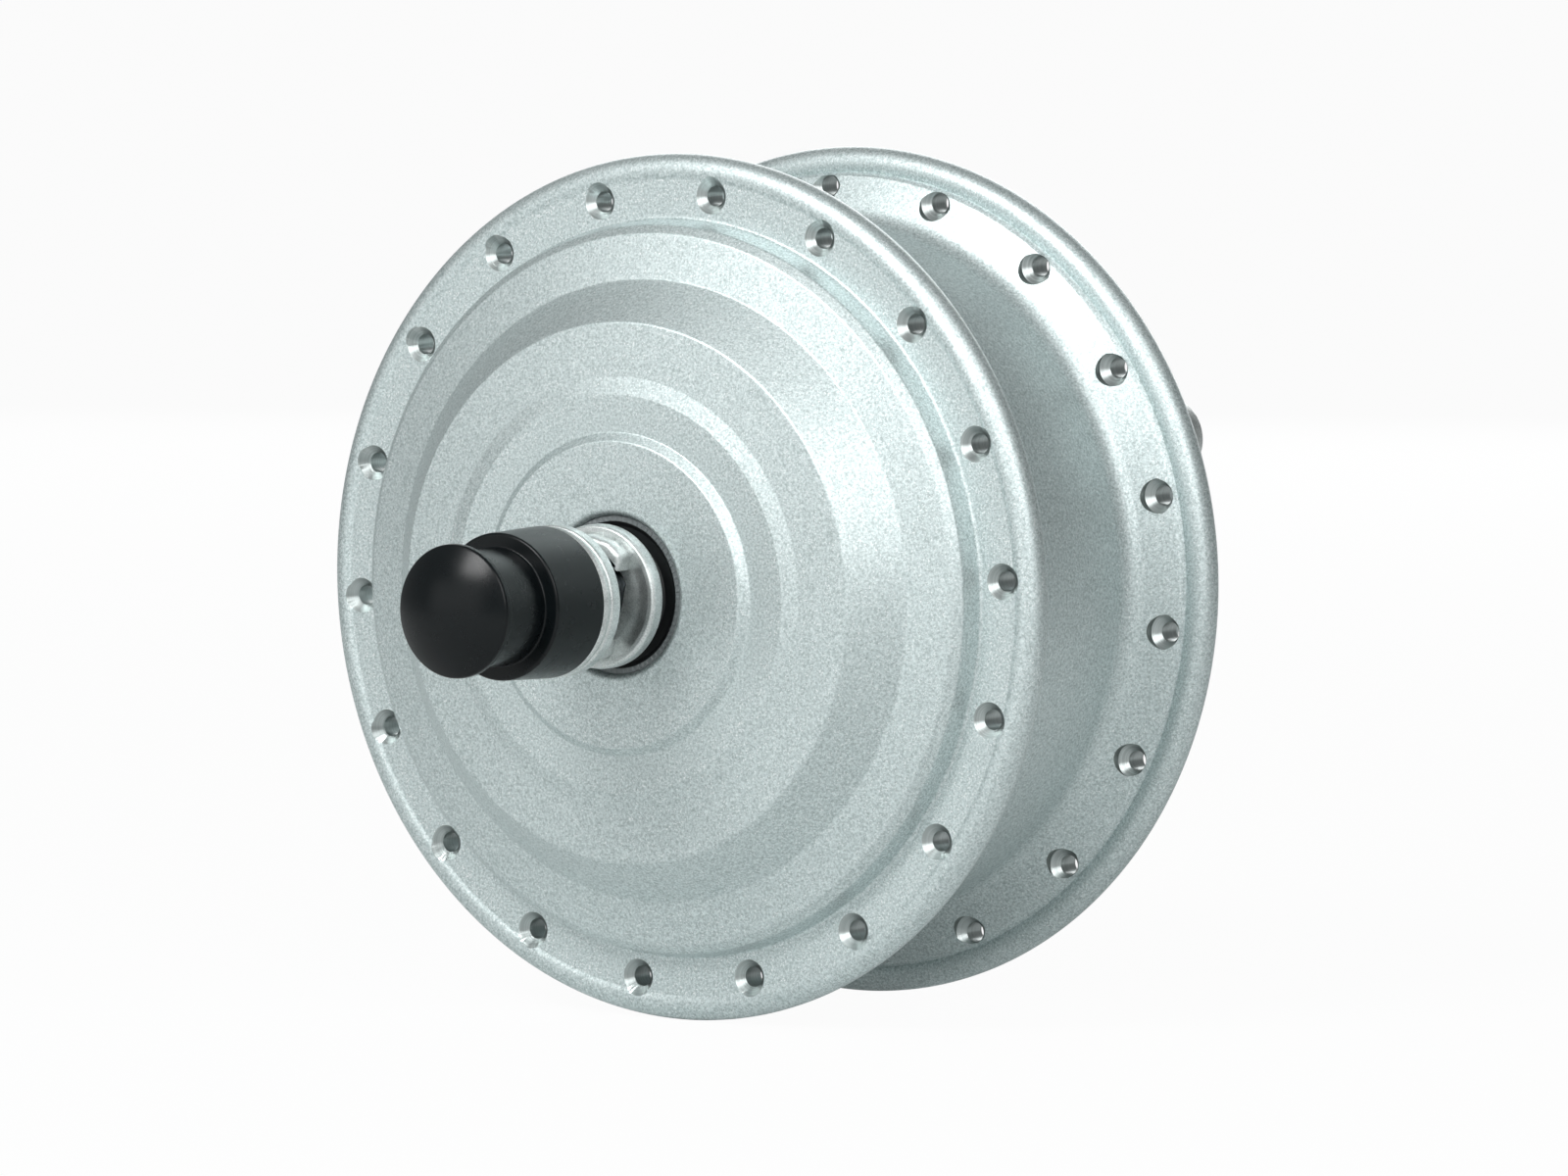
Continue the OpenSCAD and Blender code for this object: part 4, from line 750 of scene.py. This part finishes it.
# Inner pieces and screws.
# They keep the CAD's own shape. What lies inside the shell shows only when the hub is taken apart.
def patchy(name, size, low, high, roughness, detail=4.0, bump=None, distortion=0.0, **surface):
    """A finish whose tone, and roughness if it is a pair, wander between two values in patches of size mm.
    bump is a pair of strength and depth in metres; surface names further sockets of the shader."""
    made, tree = new_material(name)
    where = add(tree, "ShaderNodeTexCoord")
    patches = add(tree, "ShaderNodeTexNoise", {"Vector": where.outputs["Object"], "Scale": 1 / (size * MM),
                  "Detail": detail, "Distortion": distortion})
    tone = add(tree, "ShaderNodeMix", {"Factor": patches.outputs[0], 6: linear(low), 7: linear(high)},
               data_type="RGBA")
    inputs = {"Base Color": tone.outputs[2], "Roughness": roughness}
    if isinstance(roughness, tuple):
        rough = add(tree, "ShaderNodeMapRange", {"Value": patches.outputs[0], "To Min": roughness[0],
                    "To Max": roughness[1]})
        inputs["Roughness"] = rough.outputs[0]
    if bump:
        relief = add(tree, "ShaderNodeBump", {"Height": patches.outputs[0], "Strength": bump[0],
                     "Distance": bump[1]})
        inputs["Normal"] = relief.outputs[0]
    inputs.update({key.replace("_", " "): value for key, value in surface.items()})
    body = add(tree, "ShaderNodeBsdfPrincipled", inputs)
    add(tree, "ShaderNodeOutputMaterial", {"Surface": body.outputs[0]})
    return made


def dress(material, *names):
    """Gives nodes that keep their own shape a finish."""
    for name in names:
        mesh = nodes[name].data
        mesh.materials.clear()
        mesh.materials.append(material)


# Gasket and cover screws: grey pressed paper, and blackened steel.
gasket_paper = patchy("gasket_paper", 0.5, "#2B3132", "#4C5454", 0.85, 5.0, (0.5, 0.00005), 1.0)
dress(gasket_paper, "cover_gasket")
black_oxide = patchy("black_oxide_steel", 0.8, "#26282A", "#4A4D50", (0.3, 0.5), Metallic=1.0)
dress(black_oxide, "cover_screws", "axle_clips", "pin_clips")

# Bearings.
# Deep groove ball bearings of chrome steel, ground and polished, with pressed brass cages.
bearing_steel, tree = new_material("ground_bearing_steel")
where = add(tree, "ShaderNodeTexCoord")
ground = add(tree, "ShaderNodeMapping", {"Vector": where.outputs["Object"], "Scale": (80, 12000, 80)})
lines = add(tree, "ShaderNodeTexNoise", {"Vector": ground.outputs[0], "Scale": 1.0, "Detail": 2.0})
tone = add(tree, "ShaderNodeMix", {"Factor": lines.outputs[0], 6: linear("#BEC2C4"), 7: linear("#D3D7D8")},
           data_type="RGBA")
rough = add(tree, "ShaderNodeMapRange", {"Value": lines.outputs[0], "To Min": 0.1, "To Max": 0.22})
metal = add(tree, "ShaderNodeBsdfPrincipled", {"Base Color": tone.outputs[2], "Metallic": 1.0,
            "Roughness": rough.outputs[0]})
add(tree, "ShaderNodeOutputMaterial", {"Surface": metal.outputs[0]})
dress(bearing_steel, "near_bearing_inner_race", "near_bearing_outer_race", "near_bearing_balls",
      "far_bearing_inner_race", "far_bearing_outer_race", "far_bearing_balls", "rotor_bearing_inner_races",
      "rotor_bearing_outer_races", "rotor_bearing_balls", "clutch_rollers", "planet_pins")

brass = patchy("pressed_brass", 1.5, "#B08D45", "#DCC07A", (0.25, 0.42), Metallic=1.0)
dress(brass, "near_bearing_cage", "far_bearing_cage", "rotor_bearing_cages", "clutch_springs")

# Clutch and gears.
# Ring, sun, clutch and carrier are hardened steel with a thin film of grease. The planets are
# machined nylon on bushes of sintered bronze.
gear_steel = patchy("greased_gear_steel", 4, "#6E7376", "#989DA0", (0.22, 0.45), Metallic=1.0,
                    Coat_Weight=0.3, Coat_Roughness=0.15)
dress(gear_steel, "ring_gear", "sun_gear", "clutch_inner_ring", "planet_carrier")

nylon = patchy("machined_nylon", 6, "#D9D2BB", "#ECE7D6", 0.45, 3.0, IOR=1.53, Subsurface_Weight=0.1,
               Subsurface_Scale=0.002)
dress(nylon, "planet_gear_1", "planet_gear_2", "planet_gear_3", "thrust_washers")

bronze, tree = new_material("sintered_bronze")
where = add(tree, "ShaderNodeTexCoord")
grains = add(tree, "ShaderNodeTexVoronoi", {"Vector": where.outputs["Object"], "Scale": 1 / (0.3 * MM)})
tone = add(tree, "ShaderNodeMix", {"Factor": grains.outputs["Distance"], 6: linear("#9C6E42"),
           7: linear("#C4976A")}, data_type="RGBA")
bump = add(tree, "ShaderNodeBump", {"Height": grains.outputs["Distance"], "Strength": 0.4,
           "Distance": 0.00005})
metal = add(tree, "ShaderNodeBsdfPrincipled", {"Base Color": tone.outputs[2], "Metallic": 1.0,
            "Roughness": 0.5, "Normal": bump.outputs[0]})
add(tree, "ShaderNodeOutputMaterial", {"Surface": metal.outputs[0]})
dress(bronze, "planet_bush_1", "planet_bush_2", "planet_bush_3")

# Motor.
# The rotor is a turned steel bell with nickel-plated magnets. The stator is a stack of 0.5 mm
# laminations on an alloy spider, insulated with green epoxy and wound with enamelled copper wire.
nickel = patchy("nickel_plate", 3, "#B3B1A9", "#CBC9C2", (0.16, 0.3), 3.0, Metallic=1.0)
dress(nickel, "magnets")
dress(axle_steel, "rotor_bell", "stator_key")

cast_alloy = patchy("die_cast_alloy", 0.7, "#9FA4A6", "#BFC4C6", 0.48, bump=(0.5, 0.0001), Metallic=1.0)
dress(cast_alloy, "stator_support")

laminations, tree = new_material("stacked_laminations")
where = add(tree, "ShaderNodeTexCoord")
axes = add(tree, "ShaderNodeSeparateXYZ", {0: where.outputs["Object"]})
sheets = add(tree, "ShaderNodeMath", {0: axes.outputs["Y"], 1: 2 * math.pi / (0.5 * MM)},
             operation="MULTIPLY")
seam = add(tree, "ShaderNodeMath", {0: sheets.outputs[0]}, operation="SINE")
shade = add(tree, "ShaderNodeMapRange", {"Value": seam.outputs[0], "From Min": -1.0, "From Max": 1.0})
tone = add(tree, "ShaderNodeMix", {"Factor": shade.outputs[0], 6: linear("#3D3F42"), 7: linear("#74777A")},
           data_type="RGBA")
bump = add(tree, "ShaderNodeBump", {"Height": shade.outputs[0], "Strength": 0.6, "Distance": 0.0001})
metal = add(tree, "ShaderNodeBsdfPrincipled", {"Base Color": tone.outputs[2], "Metallic": 0.9,
            "Roughness": 0.45, "Normal": bump.outputs[0]})
add(tree, "ShaderNodeOutputMaterial", {"Surface": metal.outputs[0]})
dress(laminations, "stator_core")

copper, tree = new_material("enamelled_copper_wire")
where = add(tree, "ShaderNodeTexCoord")
axes = add(tree, "ShaderNodeSeparateXYZ", {0: where.outputs["Object"]})
across = add(tree, "ShaderNodeCombineXYZ", {"X": axes.outputs["X"], "Y": axes.outputs["Z"]})
reach_out = add(tree, "ShaderNodeVectorMath", {0: across.outputs[0]}, operation="LENGTH")
turns = add(tree, "ShaderNodeMath", {0: reach_out.outputs["Value"], 1: 2 * math.pi / (0.85 * MM)},
            operation="MULTIPLY")
wire = add(tree, "ShaderNodeMath", {0: turns.outputs[0]}, operation="SINE")
crown_and_shade = add(tree, "ShaderNodeMapRange", {"Value": wire.outputs[0], "From Min": -1.0, "From Max": 1.0})
# Painted shade and highlight: the tone runs dark between the turns and bright on their crowns.
tone = add(tree, "ShaderNodeMix", {"Factor": crown_and_shade.outputs[0], 6: linear("#6E3418"), 7: linear("#C9743A")},
           data_type="RGBA")
bump = add(tree, "ShaderNodeBump", {"Height": crown_and_shade.outputs[0], "Strength": 1.0, "Distance": 0.0004})
metal = add(tree, "ShaderNodeBsdfPrincipled", {"Base Color": tone.outputs[2], "Metallic": 0.9,
            "Roughness": 0.28, "Normal": bump.outputs[0], "Coat Weight": 0.6, "Coat Roughness": 0.1})
add(tree, "ShaderNodeOutputMaterial", {"Surface": metal.outputs[0]})
dress(copper, "stator_windings")

green_epoxy = patchy("green_epoxy", 2, "#1E5A38", "#2F7A50", 0.3, 3.0, (0.3, 0.0001))
dress(green_epoxy, "slot_insulators")

# Sensors and leads.
# A ring of circuit board carries three position sensors; their leads run into the hollow axle.
board, tree = new_material("solder_mask")
where = add(tree, "ShaderNodeTexCoord")
tracks = add(tree, "ShaderNodeTexVoronoi", {"Vector": where.outputs["Object"], "Scale": 1 / (2.2 * MM)},
             distance="CHEBYCHEV", feature="F1")
edges = add(tree, "ShaderNodeMapRange", {"Value": tracks.outputs["Distance"], "From Min": 0.42,
            "From Max": 0.46})
tone = add(tree, "ShaderNodeMix", {"Factor": edges.outputs[0], 6: linear("#14502B"), 7: linear("#1F6B3B")},
           data_type="RGBA")
body = add(tree, "ShaderNodeBsdfPrincipled", {"Base Color": tone.outputs[2], "Roughness": 0.28})
add(tree, "ShaderNodeOutputMaterial", {"Surface": body.outputs[0]})
dress(board, "hall_board")
dress(black_plastic, "hall_sensors")

lead_skin = patchy("lead_insulation", 1, "#D9A514", "#E8B832", 0.4, 2.0)
dress(lead_skin, "motor_leads")
